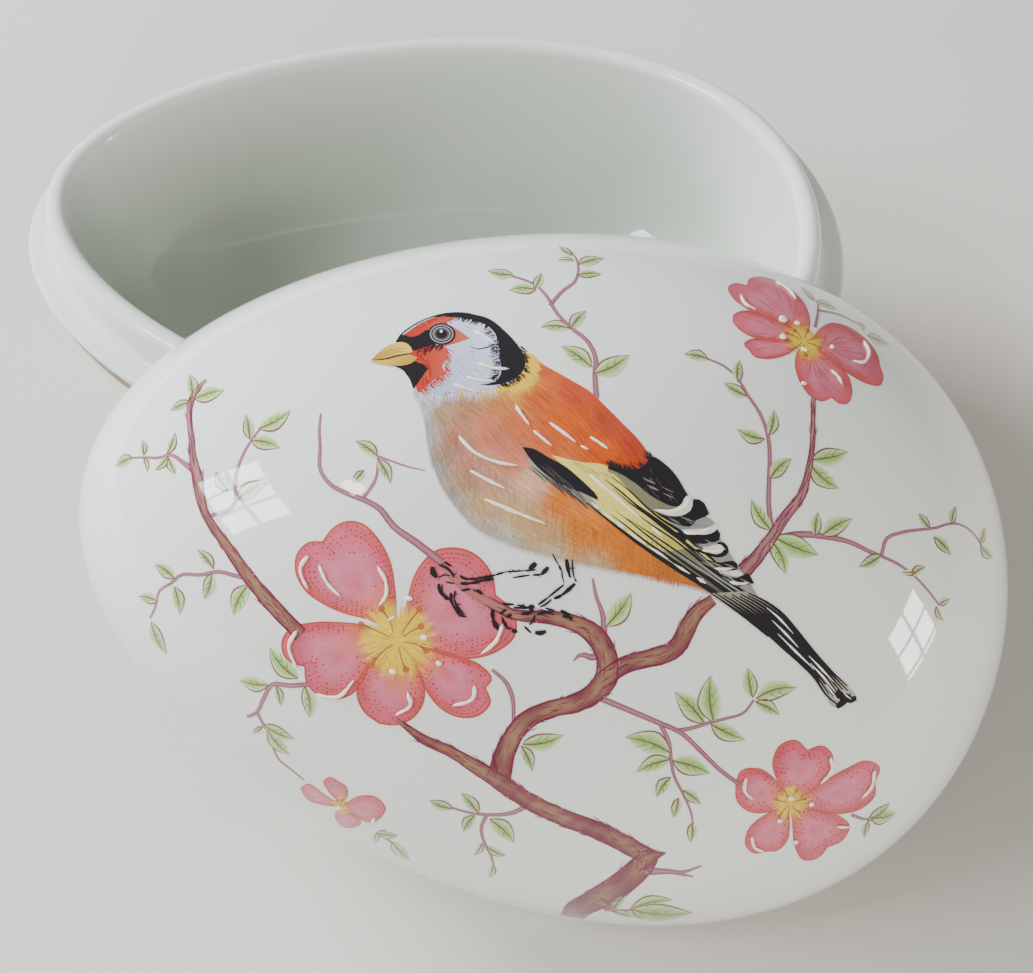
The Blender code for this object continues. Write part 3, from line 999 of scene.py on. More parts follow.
# %% Petal outlines
PETALS = {
    "big": ((-14.7, -10.9), 3.5, [
        ([(-13.4, -11.2), (-10.5, -11.2), (-7.8, -11.5), (-5.6, -12.1), (-4.4, -13.2),
          (-4.9, -14.2)],
         [(-13.4, -11.4), (-12.4, -13.2), (-10.8, -15.6), (-8.9, -17.2), (-7, -17.7),
          (-5, -17.1), (-4.1, -15.6), (-4.9, -14.2)]),
        ([(-15, -11.4), (-16.9, -13.6), (-18, -15.8), (-17.9, -17.6), (-16.9, -19.1),
          (-15.2, -20)],
         [(-14.4, -11.4), (-12.4, -13), (-11.2, -15), (-11, -17), (-11.9, -18.8), (-13.4, -19.8),
          (-15.2, -20)]),
        ([(-15.6, -10.4), (-18, -10), (-21, -10.2), (-24, -10.8), (-26.1, -11.8), (-26.8, -13.2),
          (-26.4, -14.7), (-25.2, -15.4), (-24, -15.4)],
         [(-15.6, -11), (-16.8, -13.2), (-17.6, -15.6), (-18.6, -17.4), (-20.3, -18.3),
          (-22.2, -18.2), (-23.5, -17.2), (-24, -15.4)]),
        ([(-14.4, -10.2), (-14.3, -6.5), (-14, -4), (-13.2, -2.2), (-12.2, -1.1), (-10.8, -0.6),
          (-9, -0.6), (-7.2, -1.5), (-6, -3), (-5.5, -4.6)],
         [(-14.2, -10.4), (-11.6, -11.2), (-8.8, -11.6), (-6.2, -11.2), (-4.1, -10), (-2.9, -8.5),
          (-2.9, -7), (-3.9, -5.5), (-5.5, -4.6)]),
        ([(-15, -10), (-15.3, -8), (-15.9, -5.5), (-16.9, -2.9), (-18.5, -0.9), (-20.5, 0.35),
          (-22.2, 0.2), (-23.4, -0.8), (-24.1, -2.2)],
         [(-15.4, -10), (-17.8, -9.3), (-20.5, -9.1), (-23, -8.5), (-25.2, -7.4), (-26.4, -5.8),
          (-26.6, -4), (-25.7, -2.6), (-24.1, -2.2)]),
    ]),
    "top": ((23.6, 28.8), 1.9, [
        ([(23, 28.6), (21, 28.3), (18.8, 27.9), (17.3, 27.5), (16.7, 26.8), (17.4, 26.2)],
         [(23, 28.2), (22, 27), (20.6, 26.1), (19, 25.6), (17.8, 25.7), (17.4, 26.2)]),
        ([(23.2, 29.8), (20.5, 30.8), (18, 31.2), (16.2, 30.9), (15.3, 30), (15.4, 29.2)],
         [(23.2, 28.8), (20.5, 28.2), (18, 27.9), (16.3, 28.4), (15.4, 29.2)]),
        ([(23.4, 28.2), (22.7, 26.6), (22.8, 25), (23.6, 23.4), (24.8, 22.3), (26, 22.1),
          (27.1, 22.8)],
         [(24.2, 28.6), (26.2, 27.9), (28.2, 26.8), (29.3, 25.2), (29.5, 23.6), (29, 22.5),
          (28.1, 22.3), (27.1, 22.8)]),
        ([(24.4, 28.7), (26.5, 27.4), (29, 26.2), (31.5, 25.5), (33.2, 25.8), (33.6, 26.9),
          (33.2, 28.2)],
         [(24.6, 29.1), (25.6, 30.9), (27.2, 32.2), (29, 32.4), (30.9, 31.8), (32.4, 30.6),
          (33.1, 29.3), (33.2, 28.2)]),
        ([(24.1, 29.8), (24.4, 31.5), (24.2, 33.2), (23.4, 34.8), (22, 36.1), (20.2, 36.7),
          (18.3, 36.5), (17.2, 35.6), (17, 34.7)],
         [(23.4, 29.6), (21, 30.3), (18.5, 30.8), (16.5, 31.6), (15.2, 32.6), (14.7, 33.8),
          (15.4, 34.6), (17, 34.7)]),
    ]),
    "low": ((29.7, -21.3), 1.7, [
        ([(29.4, -21.8), (27.2, -23), (25.8, -25), (26, -26.7), (27.4, -27.6), (28.6, -27.2)],
         [(29.7, -22), (30.4, -24), (30.6, -25.8), (29.8, -27), (28.6, -27.2)]),
        ([(30.2, -21.6), (33, -21.8), (36, -22.2), (37.8, -23.4), (37.4, -25.2), (35.9, -26)],
         [(30, -21.9), (30.8, -24), (31.9, -26.4), (33.6, -27.9), (35.3, -27.4), (35.9, -26)]),
        ([(30.2, -21), (32.6, -18.8), (35.2, -16.8), (37.6, -15.6), (39.4, -16.2), (39.3, -17.9)],
         [(30.4, -21.4), (33, -21.9), (36, -21.9), (38.6, -21), (39.8, -19.4), (39.3, -17.9)]),
        ([(29.2, -21), (27.4, -19), (25.2, -18), (23.3, -18.6), (23.1, -20)],
         [(29.2, -21.5), (27.5, -22.6), (25.3, -22.8), (23.7, -21.8), (23.1, -20)]),
        ([(29.5, -20.9), (27.6, -19), (26.6, -17), (27, -15.2), (28.6, -14.4), (30.2, -15.3)],
         [(29.9, -20.9), (32, -19.4), (33.4, -17.4), (33.3, -15.6), (31.8, -14.6),
          (30.2, -15.3)]),
    ]),
    "bud": ((-18.3, -30.8), 0.9, [
        ([(-18.5, -30.4), (-19.8, -29.3), (-20.5, -28.2), (-19.8, -27.4), (-18.9, -27.7)],
         [(-18.2, -30.4), (-17.6, -29.2), (-17.9, -28.1), (-18.9, -27.7)]),
        ([(-18.6, -30.6), (-20.4, -29.8), (-22.4, -29), (-23.2, -29.9)],
         [(-18.6, -31), (-20.4, -31.3), (-22.2, -31.2), (-23.2, -29.9)]),
        ([(-18, -30.6), (-16.4, -29), (-14.4, -28.6), (-13.2, -29.8), (-13.6, -31)],
         [(-18, -30.9), (-16.4, -31.8), (-14.6, -32), (-13.6, -31)]),
        ([(-18.5, -31.1), (-18.9, -32.6), (-18, -33.8), (-16.7, -33.5)],
         [(-18.1, -31.1), (-16.6, -31.6), (-15.8, -32.4), (-16.7, -33.5)]),
    ]),
}

# %% [markdown]
# The pink is deepest at the rim, with a pale bloom in the middle of each petal, and turns
# orange and then yellow towards the heart. Round it go a brick-red outline, a few lines
# inside it, and rows of fine red stipple that follow the rim. The petals of the top blossom
# have fine red streaks that run outwards instead of the stipple.

# %% The petals
PINK = ink(202, 94, 112)
PINK_DEEP = ink(196, 80, 96)
PINK_BLOOM = ink(204, 130, 156)
AMBER = ink(216, 118, 66)
POLLEN = ink(226, 192, 62)
RIM_RED = ink(178, 76, 66)
STIPPLE = ink(166, 56, 70)

petals = Sheet(LIFTS["petals"])
petal_lines = Sheet(LIFTS["petal_lines"])


def disc(sheet, outline, focus, rings, tone):
    """A patch inside a closed outline, bent round a focus."""
    outline, focus = np.array(outline), np.array(focus)

    def place(i, v):
        return focus + (outline[i] - focus) * ((v[:, None] + 1) / 2)

    sheet.patch(len(outline) - 1, rings, place, tone, weld=True)


def dot(sheet, x, y, radius, tone, sides=6):
    """One small round dot of ink."""
    if len(sheet.bm.verts) > PAGE_POINTS:
        sheet.turn_page()
    made = bmesh.ops.create_circle(sheet.bm, cap_ends=True, segments=sides, radius=radius)
    for vert in made["verts"]:
        vert.co = (vert.co.x + x, vert.co.y + y, sheet.lift)
        vert[sheet.tone] = (*tone, 1.0)
    sheet.lift += HAIR


def petal_tone(centre, heart, deep_side):
    centre = np.array(centre)

    def tone(points, u, v):
        out = points - centre
        reach = np.hypot(out[:, 0], out[:, 1])
        angle = np.arctan2(out[:, 1], out[:, 0])
        ragged = heart * (1 + 0.12 * np.sin(angle * 23) + 0.08 * np.sin(angle * 41))
        depth = (v + 1) / 2
        bloom = np.clip(1.1 - np.abs(depth - 0.35) * 3.0, 0, 1)[:, None] * 0.55
        rim = np.clip((depth - 0.62) * 2.4, 0, 1)[:, None]
        side = (0.5 + 0.5 * np.cos(2 * math.pi * u - deep_side))[:, None]
        amber = np.clip(1.9 - reach / ragged, 0, 1)[:, None] * (0.3 + 0.7 * side)
        pollen = np.clip((1.12 - reach / ragged) * 5, 0, 1)[:, None]
        colour = between(PINK, PINK_BLOOM, bloom)
        colour = between(colour, PINK_DEEP, rim * (0.2 + 0.6 * side))
        return between(between(colour, AMBER, amber), POLLEN, pollen)

    return tone


for name, (centre, heart, petal_edges) in PETALS.items():
    for one, two in petal_edges:
        first, second = smooth_path(one, 0.5)[0], smooth_path(two, 0.5)[0]
        outline = np.concatenate([first, second[-2::-1]])
        if path_length([outline[0], outline[-1]]) > 1e-6:
            outline = np.concatenate([outline, outline[:1]])
        middle_of = (first.mean(axis=0) + second.mean(axis=0)) / 2
        focus = middle_of * 0.9 + np.array(centre) * 0.1
        wide = np.linalg.norm(first.mean(axis=0) - second.mean(axis=0))
        deep_side = chance.uniform(0, 2 * math.pi)
        rings = max(4, int(wide / 0.6))
        disc(petals, outline, focus, rings, petal_tone(centre, heart, deep_side))
        line = 0.07 + 0.035 * heart
        for edge in (one, two):
            stroke(petal_lines, edge, (line * 0.5, line, line * 1.2, line), RIM_RED, step=0.5)
        if heart > 1:
            for inner, span in ((0.92, (0.1, 0.95)), (0.85, (0.35, 0.85)), (0.79, (0.5, 0.8))):
                for edge in (first, second):
                    part = edge[int(len(edge) * span[0]):int(len(edge) * span[1])]
                    part = focus + (part - focus) * inner
                    if len(part) > 3:
                        stroke(petal_lines, part[::2], (0.03, line * 0.8, 0.03),
                               RIM_RED * 1.15, step=0.5)
        if name == "top":
            for _ in range(int(9 * wide)):
                end = outline[int(chance.integers(0, len(outline)))]
                reach = chance.uniform(0.45, 0.95)
                root = np.array(centre) * 0.55 + focus * 0.45
                streak = [root + (end - root) * s for s in (reach - 0.35, reach - 0.15, reach)]
                stroke(petal_lines, streak, (0.02, 0.09, 0.02),
                       RIM_RED * chance.uniform(0.85, 1.2), step=0.7)
            continue
        rows = np.arange(0.5, 0.97, 0.5 / max(wide, 1.0))
        for depth in rows:
            ring_line = focus + (outline - focus) * depth
            gaps = np.linalg.norm(np.diff(ring_line, axis=0), axis=1)
            room = np.concatenate([[0], np.cumsum(gaps)])
            for where in np.arange(0, room[-1], 0.55):
                if chance.uniform() < 0.25 + 0.6 * depth * (depth > 0.6):
                    x = np.interp(where, room, ring_line[:, 0]) + chance.uniform(-0.06, 0.06)
                    y = np.interp(where, room, ring_line[:, 1]) + chance.uniform(-0.06, 0.06)
                    if math.hypot(x - centre[0], y - centre[1]) > heart * 1.15:
                        dot(petal_lines, x, y, chance.uniform(0.07, 0.125), STIPPLE)
press(petals, "petal_print", fired_ink)
press(petal_lines, "petal_lines", fired_ink)

# %% [markdown]
# The heart is a burst of short yellow rays, some of them orange, under a few brown stamens.

# %% The hearts
STAMEN = ink(150, 84, 44)
hearts = Sheet(LIFTS["hearts"])
for centre, heart, _ in PETALS.values():
    centre = np.array(centre)
    angles = np.linspace(0, 2 * math.pi, 37)
    middle_line = centre + heart * 0.7 * np.stack([np.cos(angles), np.sin(angles)], axis=-1)
    disc(hearts, middle_line, centre, 5, POLLEN * 0.96)
    hearts.next_film()
    for _ in range(int(50 * heart)):
        angle = chance.uniform(0, 2 * math.pi)
        out = np.array((math.cos(angle), math.sin(angle)))
        start, end = heart * chance.uniform(0.1, 0.7), heart * chance.uniform(0.8, 1.25)
        bright = chance.uniform(0.85, 1.12)
        colour = POLLEN * bright if chance.uniform() < 0.75 else (POLLEN + AMBER) / 2 * bright
        stroke(hearts, [centre + out * start, centre + out * end],
               (0.1 * heart ** 0.5, 0.02), colour, step=1.2)
    hearts.next_film()
    for k in range(7 if heart > 1 else 3):
        angle = 2 * math.pi * (k / 7 + chance.uniform(-0.05, 0.05)) + 0.5
        out = np.array((math.cos(angle), math.sin(angle)))
        side = np.array((-out[1], out[0])) * chance.uniform(-0.08, 0.08)
        tip = centre + out * heart * chance.uniform(0.8, 1.2)
        stroke(hearts, [centre + out * heart * 0.2, centre + (out * 0.55 + side) * heart, tip],
               (0.08, 0.16), STAMEN, step=0.5)
        dot(hearts, *tip, 0.09 + 0.08 * heart, STAMEN * 1.5, sides=10)
press(hearts, "blossom_hearts", fired_ink)

# %% [markdown]
# ## The bird's body
#
# The painter laid the body in as soft dabs of colour that run into each other, then hatched
# over them with hundreds of fine barbs that follow the lie of the feathers. So the colour
# at any point is a mean of the dabs round it, the nearer the stronger. The barbs run along
# lines drawn between the back and the belly, each a little darker or lighter than the
# colour under it.

# %% Dabs of colour
DABS = [
    (-4.5, 19.6, 190, 78, 50), (-1, 18, 184, 74, 48), (3, 15.4, 176, 70, 46),
    (6.5, 12.9, 168, 64, 42), (-5, 16.6, 190, 88, 42), (-1, 14.6, 202, 88, 30),
    (3, 12.4, 204, 84, 26), (6.5, 11.2, 190, 70, 26), (-3, 12.6, 198, 92, 44),
    (-6.2, 20.8, 222, 180, 70), (-6.1, 19.2, 216, 166, 62), (-7.6, 17.4, 210, 164, 76),
    (-10, 16.7, 200, 158, 90), (-12.6, 16.1, 190, 156, 104),
    (-8.5, 15.2, 186, 112, 66), (-12, 14.4, 172, 120, 90), (-14.3, 13.6, 170, 136, 108),
    (-9, 12.4, 194, 112, 86), (-12.3, 11.4, 180, 118, 96), (-6, 13.4, 196, 104, 66),
    (-10.5, 8.6, 190, 128, 106), (-6.5, 9.4, 202, 122, 96), (-13.4, 9.2, 168, 134, 112),
    (-11.2, 6.3, 176, 142, 110), (-7.5, 6.6, 196, 150, 118), (-3.8, 7.2, 210, 166, 136),
    (-8.2, 4, 188, 154, 112), (-4.6, 3.9, 196, 160, 112), (-1.6, 2.4, 192, 154, 104),
    (-0.8, 6.2, 204, 116, 44), (2, 3.4, 206, 122, 44), (5, 3.6, 208, 116, 36),
    (8, 1.6, 202, 112, 40), (12, 0.9, 194, 108, 46), (16.5, -0.7, 176, 98, 56),
    (-16.5, 13.6, 182, 182, 178), (-15.6, 10.4, 164, 164, 164), (-14.4, 7.4, 156, 162, 170),
    (-12.3, 4.5, 160, 168, 180), (-9, 1.9, 168, 172, 178), (-5.5, 0.9, 180, 176, 164),
    (-1, 0.4, 186, 174, 148), (4, 0.1, 190, 158, 118),
]
dab_places = np.array([dab[:2] for dab in DABS], float)
dab_colours = np.array([srgb(*dab[2:])[:3] for dab in DABS])


def body_colour(points):
    gaps = ((points[:, None, :2] - dab_places[None]) ** 2).sum(axis=2)
    weights = 1 / (gaps + 0.3) ** 2
    return (weights[:, :, None] * dab_colours).sum(axis=1) / weights.sum(axis=1)[:, None]


BACK = [(-17, 15.4), (-14.5, 17.4), (-11, 19.4), (-8.4, 20.9), (-6.2, 21.2), (-5, 20.5),
        (-3, 19.7), (-1, 18.9), (0.5, 18.3), (2.5, 16.9), (4.5, 15.4), (6.5, 13.9), (8, 12.4),
        (10.5, 10), (13, 7.4), (16, 3.4), (18, 0.4), (19.5, -1.8)]
BELLY = [(-17.5, 15.2), (-16.5, 13.8), (-15.9, 12.5), (-15.4, 11), (-14.9, 9.5), (-14.2, 7.8),
         (-13.2, 6), (-12, 4.6), (-10.5, 3.2), (-8.8, 2), (-6.5, 1.2), (-4, 0.7), (-1, 0.4),
         (2, 0.2), (5, 0.1), (8, 0.1), (11, 0), (13.5, -0.1), (16, -0.4), (19.5, -1.8)]
body = Sheet(LIFTS["body"])
panel(body, BACK, BELLY, lambda points, u, v: body_colour(points), step=0.65)
press(body, "bird_body", fired_ink)

# %% The barbs
barbs = Sheet(LIFTS["barbs"])
LANES = 240
BARBS = 2600
BELLY_HAIRS = 900
back_line, belly_line = even_path(BACK, LANES), even_path(BELLY, LANES)


def barb(start, lane, length, width, factor, spread=0.0):
    """A hair of ink along the lie of the feathers."""
    first, last = int(start), min(int(start + length), LANES)
    picks = np.linspace(first, last, 4).astype(int)
    shares = np.clip(lane + spread * np.linspace(0, 1, 4), 0, 1)[:, None]
    points = between(back_line[picks], belly_line[picks], shares)
    colour = body_colour(points[1:2])[0] * factor
    stroke(barbs, points, (0.02, width, 0.02), np.clip(colour, 0, 1), step=0.9)


for _ in range(BARBS):
    lane = chance.uniform(0.04, 0.97)
    start = chance.uniform(4, LANES - 36)
    dark = chance.uniform() < 0.55
    factor = chance.uniform(0.68, 0.88) if dark else chance.uniform(1.1, 1.3)
    barb(start, lane, chance.uniform(6, 14), chance.uniform(0.07, 0.12), factor, 0.02)
for _ in range(BELLY_HAIRS):
    i = int(chance.uniform(40, LANES - 40))
    share = chance.uniform(0.0, 0.34)
    root = between(belly_line[i], back_line[i], share)
    tip = root + (0.3, -chance.uniform(1, 2) * min(1, 0.35 + 3 * share))
    colour = body_colour(root[None])[0] * chance.uniform(0.74, 0.92)
    stroke(barbs, [root, (root + tip) / 2 + (0.08, 0), tip], (0.02, 0.1, 0.02),
           np.clip(colour, 0, 1), step=0.9)
for i in range(LANES):
    root = back_line[i] * 0.06 + belly_line[i] * 0.94
    lean_out = belly_line[i] - back_line[i]
    lean_out /= max(np.linalg.norm(lean_out), 1e-6)
    run = np.array((0.5, -0.25)) if belly_line[i][0] > -14 else np.array((0.1, -0.5))
    tip = belly_line[i] + lean_out * 0.35 + run * 0.5
    stroke(barbs, [root, tip], (0.14, 0.02),
           body_colour(root[None])[0] * chance.uniform(0.72, 1.12), step=1.5)
press(barbs, "bird_barbs", fired_ink)

# %% [markdown]
# ## Head, beak and eye
#
# The head has flat fields of black, red and lavender white whose borders are broken up by
# short hairs, so that one field seems to grow over the next. The eye is a stack of discs.

# %% The head's fields
BLACK = ink(34, 31, 34)
RED = ink(172, 50, 36)
RED_SOFT = ink(192, 88, 70)
CHEEK = ink(204, 210, 228)
CHEEK_SHADE = ink(166, 172, 202)
BEAK = ink(216, 184, 84)
BEAK_SHADE = ink(168, 124, 44)
head = Sheet(LIFTS["head"])


def two_tone(first, second, angle=0.0, reach=3.0, middle=(0, 0)):
    """A colour that turns from the first to the second across the plan."""
    def tone(points, u, v):
        run = (points[:, 0] - middle[0]) * math.cos(angle)
        run = run + (points[:, 1] - middle[1]) * math.sin(angle)
        share = np.clip(0.5 + run / (2 * reach), 0, 1)[:, None]
        return between(first, second, share)
    return tone


def hairs(sheet, border, count, length, lean, colours, width=0.13, jitter=0.35):
    """Short hairs that cross a border, all leaning about the same way."""
    line = even_path(border, 200)
    for _ in range(count):
        root = line[int(chance.integers(0, 200))] + chance.uniform(-0.12, 0.12, 2)
        angle = math.radians(lean) + chance.uniform(-jitter, jitter)
        reach = length * chance.uniform(0.6, 1.2)
        tip = root + np.array((math.cos(angle), math.sin(angle))) * reach
        colour = colours[int(chance.integers(0, len(colours)))]
        stroke(sheet, [root, tip], (width, 0.02), colour, step=1.0)


CROWN = [(-20.6, 20.4), (-20.3, 21.3), (-19.6, 22.2), (-18.8, 23), (-17.3, 24), (-15.5, 24.7),
         (-13.5, 24.9), (-11.8, 24.6), (-10.3, 23.9), (-9, 23), (-8, 22.2), (-7, 20.8),
         (-6.8, 19.6)]
THROAT = [(-20.6, 20.4), (-19.6, 19), (-18.4, 17.6), (-17.8, 16.2), (-17.2, 15.1), (-15, 15.2),
          (-13, 15.9), (-11, 16.4), (-9.2, 16.9), (-7.6, 17.8), (-6.8, 19.6)]
COLLAR = ink(226, 184, 66)
COLLAR_OUTER = [(-6.1, 21.3), (-5.4, 20.2), (-5.5, 19), (-6.3, 17.8), (-7.7, 16.9), (-9.5, 16.4),
                (-11.5, 16), (-13.6, 15.6)]
COLLAR_INNER = [(-7, 20.9), (-6.5, 20), (-6.8, 18.9), (-7.6, 18), (-8.8, 17.4), (-10.2, 17),
                (-11.8, 16.6), (-13.6, 16.1)]
panel(head, COLLAR_OUTER, COLLAR_INNER, COLLAR, step=0.5)
head.next_film()
hairs(head, COLLAR_OUTER[:5], 130, 0.9, -38, (COLLAR, COLLAR * 0.9, COLLAR * 1.1), 0.15)
hairs(head, COLLAR_OUTER[4:], 70, 0.7, -70, (COLLAR * 0.95, COLLAR * 0.8), 0.13)
head.next_film()
panel(head, CROWN, THROAT, two_tone(CHEEK, CHEEK_SHADE, -2.4, 5, (-14, 20)), step=0.6)
head.next_film()
hairs(head, [(-17, 15), (-15, 15.1), (-13, 15.8), (-11, 16.3), (-9, 16.8)], 90, 1.2, -75,
      (CHEEK, CHEEK_SHADE, CHEEK))
hairs(head, [(-13.8, 19.5), (-13.2, 17.6), (-11.8, 18.6), (-12.5, 20.6)], 60, 1.3, -35,
      (CHEEK_SHADE, CHEEK * 1.1, CHEEK_SHADE * 0.9), 0.1)
RED_FIELDS = [
    ([(-20.3, 21), (-19.4, 22), (-18.6, 22.9), (-17.2, 23.9), (-15.5, 24.6), (-14.4, 24.4)],
     [(-20.3, 21), (-19, 21), (-17.6, 22), (-16.6, 23), (-15.6, 23.6), (-14.4, 24.4)]),
    ([(-15.4, 23.3), (-14.2, 22.8), (-12.8, 22)], [(-15.4, 20.6), (-14.2, 21.2), (-12.8, 22)]),
    ([(-18.9, 18), (-18.5, 20), (-17, 20.6), (-15.2, 20.6), (-14.8, 19.4), (-15.2, 18.6),
      (-14.6, 17.5)],
     [(-18.9, 18), (-18.2, 17), (-17.6, 16), (-17.1, 15), (-16.4, 15.8), (-15.6, 16.8),
      (-14.6, 17.5)]),
]
for first, second in RED_FIELDS:
    head.next_film()
    panel(head, first, second, two_tone(RED, RED_SOFT, 0.2, 3.0, (-16, 20)), step=0.5)
head.next_film()
hairs(head, [(-15, 20.4), (-14.9, 19), (-14.8, 17.6), (-15.8, 16.4), (-17, 15.2)], 70, 0.9, -30,
      (RED, RED_SOFT, RED * 0.8))
hairs(head, [(-15.2, 24.2), (-16, 23.4), (-17, 22.6), (-18, 22)], 30, 0.7, -50, (RED, RED * 0.8))
BLACK_FIELDS = [
    ([(-20.7, 20.4), (-20.2, 21.4), (-19.3, 21.2), (-18.4, 21.5), (-17.6, 22.3), (-16.6, 22.3)],
     [(-20.7, 20.4), (-19.6, 20.2), (-18.6, 19.6), (-17.8, 20), (-16.9, 20.5), (-16, 21)]),
    ([(-20.3, 17.7), (-19.2, 18), (-18.2, 18.5), (-17.2, 18.1), (-16.6, 17.8)],
     [(-20.3, 17.6), (-19.3, 17.3), (-18.6, 16.7), (-18, 15.9), (-17.7, 15.3)]),
    ([(-17.3, 24), (-15, 24.8), (-13, 24.95), (-11, 24.6), (-9.3, 23.5), (-7.5, 21.9),
      (-6.6, 20.6), (-6.5, 19.5), (-7.3, 18.2), (-8.6, 17.4), (-10, 17), (-11, 16.9)],
     [(-16.9, 24), (-14.5, 24.3), (-12.2, 24.1), (-10.9, 23.6), (-10.1, 22.8), (-9.7, 21.6),
      (-9.3, 20.3), (-8.9, 19.2), (-8.9, 18.2), (-9.4, 17.5), (-10.2, 17.1), (-11, 16.9)]),
]
for first, second in BLACK_FIELDS:
    head.next_film()
    panel(head, first, second, BLACK, step=0.5)
head.next_film()
hairs(head, [(-10.8, 23.4), (-9.9, 22.2), (-9.4, 20.6), (-9, 19), (-9.4, 17.5)], 110, 0.9, 200,
      (BLACK, BLACK, BLACK * 3, CHEEK_SHADE))
hairs(head, [(-14.5, 24.5), (-12.5, 24.4), (-11, 23.8)], 36, 0.7, 250, (BLACK,))
hairs(head, [(-7.4, 22), (-6.6, 20.6), (-6.5, 19.4), (-7.4, 18), (-9, 17.2)], 70, 0.7, -25,
      (BLACK, BLACK, BLACK * 4), 0.12)
hairs(head, [(-17.8, 20.1), (-16.6, 20.6), (-15.4, 20.8)], 26, 0.9, -110, (BLACK,))
hairs(head, [(-18.3, 18.3), (-17.2, 18.1)], 12, 0.8, -20, (BLACK,))
hairs(head, [(-18, 20), (-17, 20.4), (-16.2, 20.8)], 16, 0.7, -60, (RED * 0.6, BLACK))
hairs(head, [(-18.9, 22.4), (-17.8, 23.2), (-16.4, 23.9)], 30, 0.8, 30, (RED * 0.7, RED, RED_SOFT))
hairs(head, [(-18.2, 19.6), (-17, 19), (-16.4, 17.6), (-16.8, 16.6)], 40, 0.9, -70,
      (RED * 0.7, RED_SOFT, RED), 0.1)
stroke(head, CROWN[:8], (0.1, 0.16, 0.12, 0.2, 0.3), BLACK)
stroke(head, [(-12.6, 21), (-11.6, 20.9), (-10.9, 21.2), (-10.1, 21.6)],
       (0.05, 0.14, 0.1), BLACK)

# %% The eye and the beak
EYE = (-15.9, 22.05)
for across, tall, colour in (
        (1.5, 1.3, BLACK), (1.3, 1.12, CHEEK_SHADE * 0.6), (1.14, 0.98, BLACK),
        (0.98, 0.84, ink(150, 140, 138)), (0.84, 0.72, ink(84, 72, 70)), (0.6, 0.54, BLACK)):
    angles = np.linspace(0, 2 * math.pi, 25)
    ring_line = EYE + np.stack([across * np.cos(angles), tall * np.sin(angles)], axis=-1)
    disc(head, ring_line, EYE, 2, colour)
    head.next_film()
dot(head, EYE[0] - 0.1, EYE[1] + 0.3, 0.17, CHEEK * 1.15, sides=10)
head.next_film()
panel(head,
      [(-22.9, 17.8), (-21.9, 19.3), (-20.8, 20.2), (-19.7, 20.45), (-18.8, 19.9), (-18.6, 19.5)],
      [(-22.9, 17.8), (-21.5, 18.2), (-20.3, 18.8), (-18.9, 19.2), (-18.6, 19.5)],
      two_tone(BEAK_SHADE, BEAK, 0.9, 1.6, (-20.9, 18.9)), step=0.45)
panel(head,
      [(-22.9, 17.8), (-21.5, 18.1), (-20.2, 18.7), (-18.8, 19.15), (-17.9, 18.9)],
      [(-22.9, 17.7), (-20.5, 17.6), (-19.2, 17.8), (-18.2, 18.4), (-17.9, 18.9)],
      two_tone(BEAK, BEAK_SHADE, -0.6, 2.2, (-20, 18.4)), step=0.45)
head.next_film()
stroke(head, [(-22.7, 17.9), (-21.4, 18.2), (-20.2, 18.75), (-18.8, 19.25)],
       (0.05, 0.2, 0.16), BLACK * 1.4)
for rise in (0.35, 0.7):
    stroke(head, [(-21.8, 18.1 + rise), (-20.6, 18.8 + rise), (-19.3, 19.1 + rise)],
           (0.03, 0.12, 0.03), BEAK_SHADE)
press(head, "bird_head", fired_ink)

# %% [markdown]
# ## Wing, tail and legs
#
# The folded wing is a stack of long feathers: black ones with white tips, a yellow bar, and
# the grey quills of the tail. Each feather is a field with a few fine quill lines over it.
# The legs are only broken pen lines.

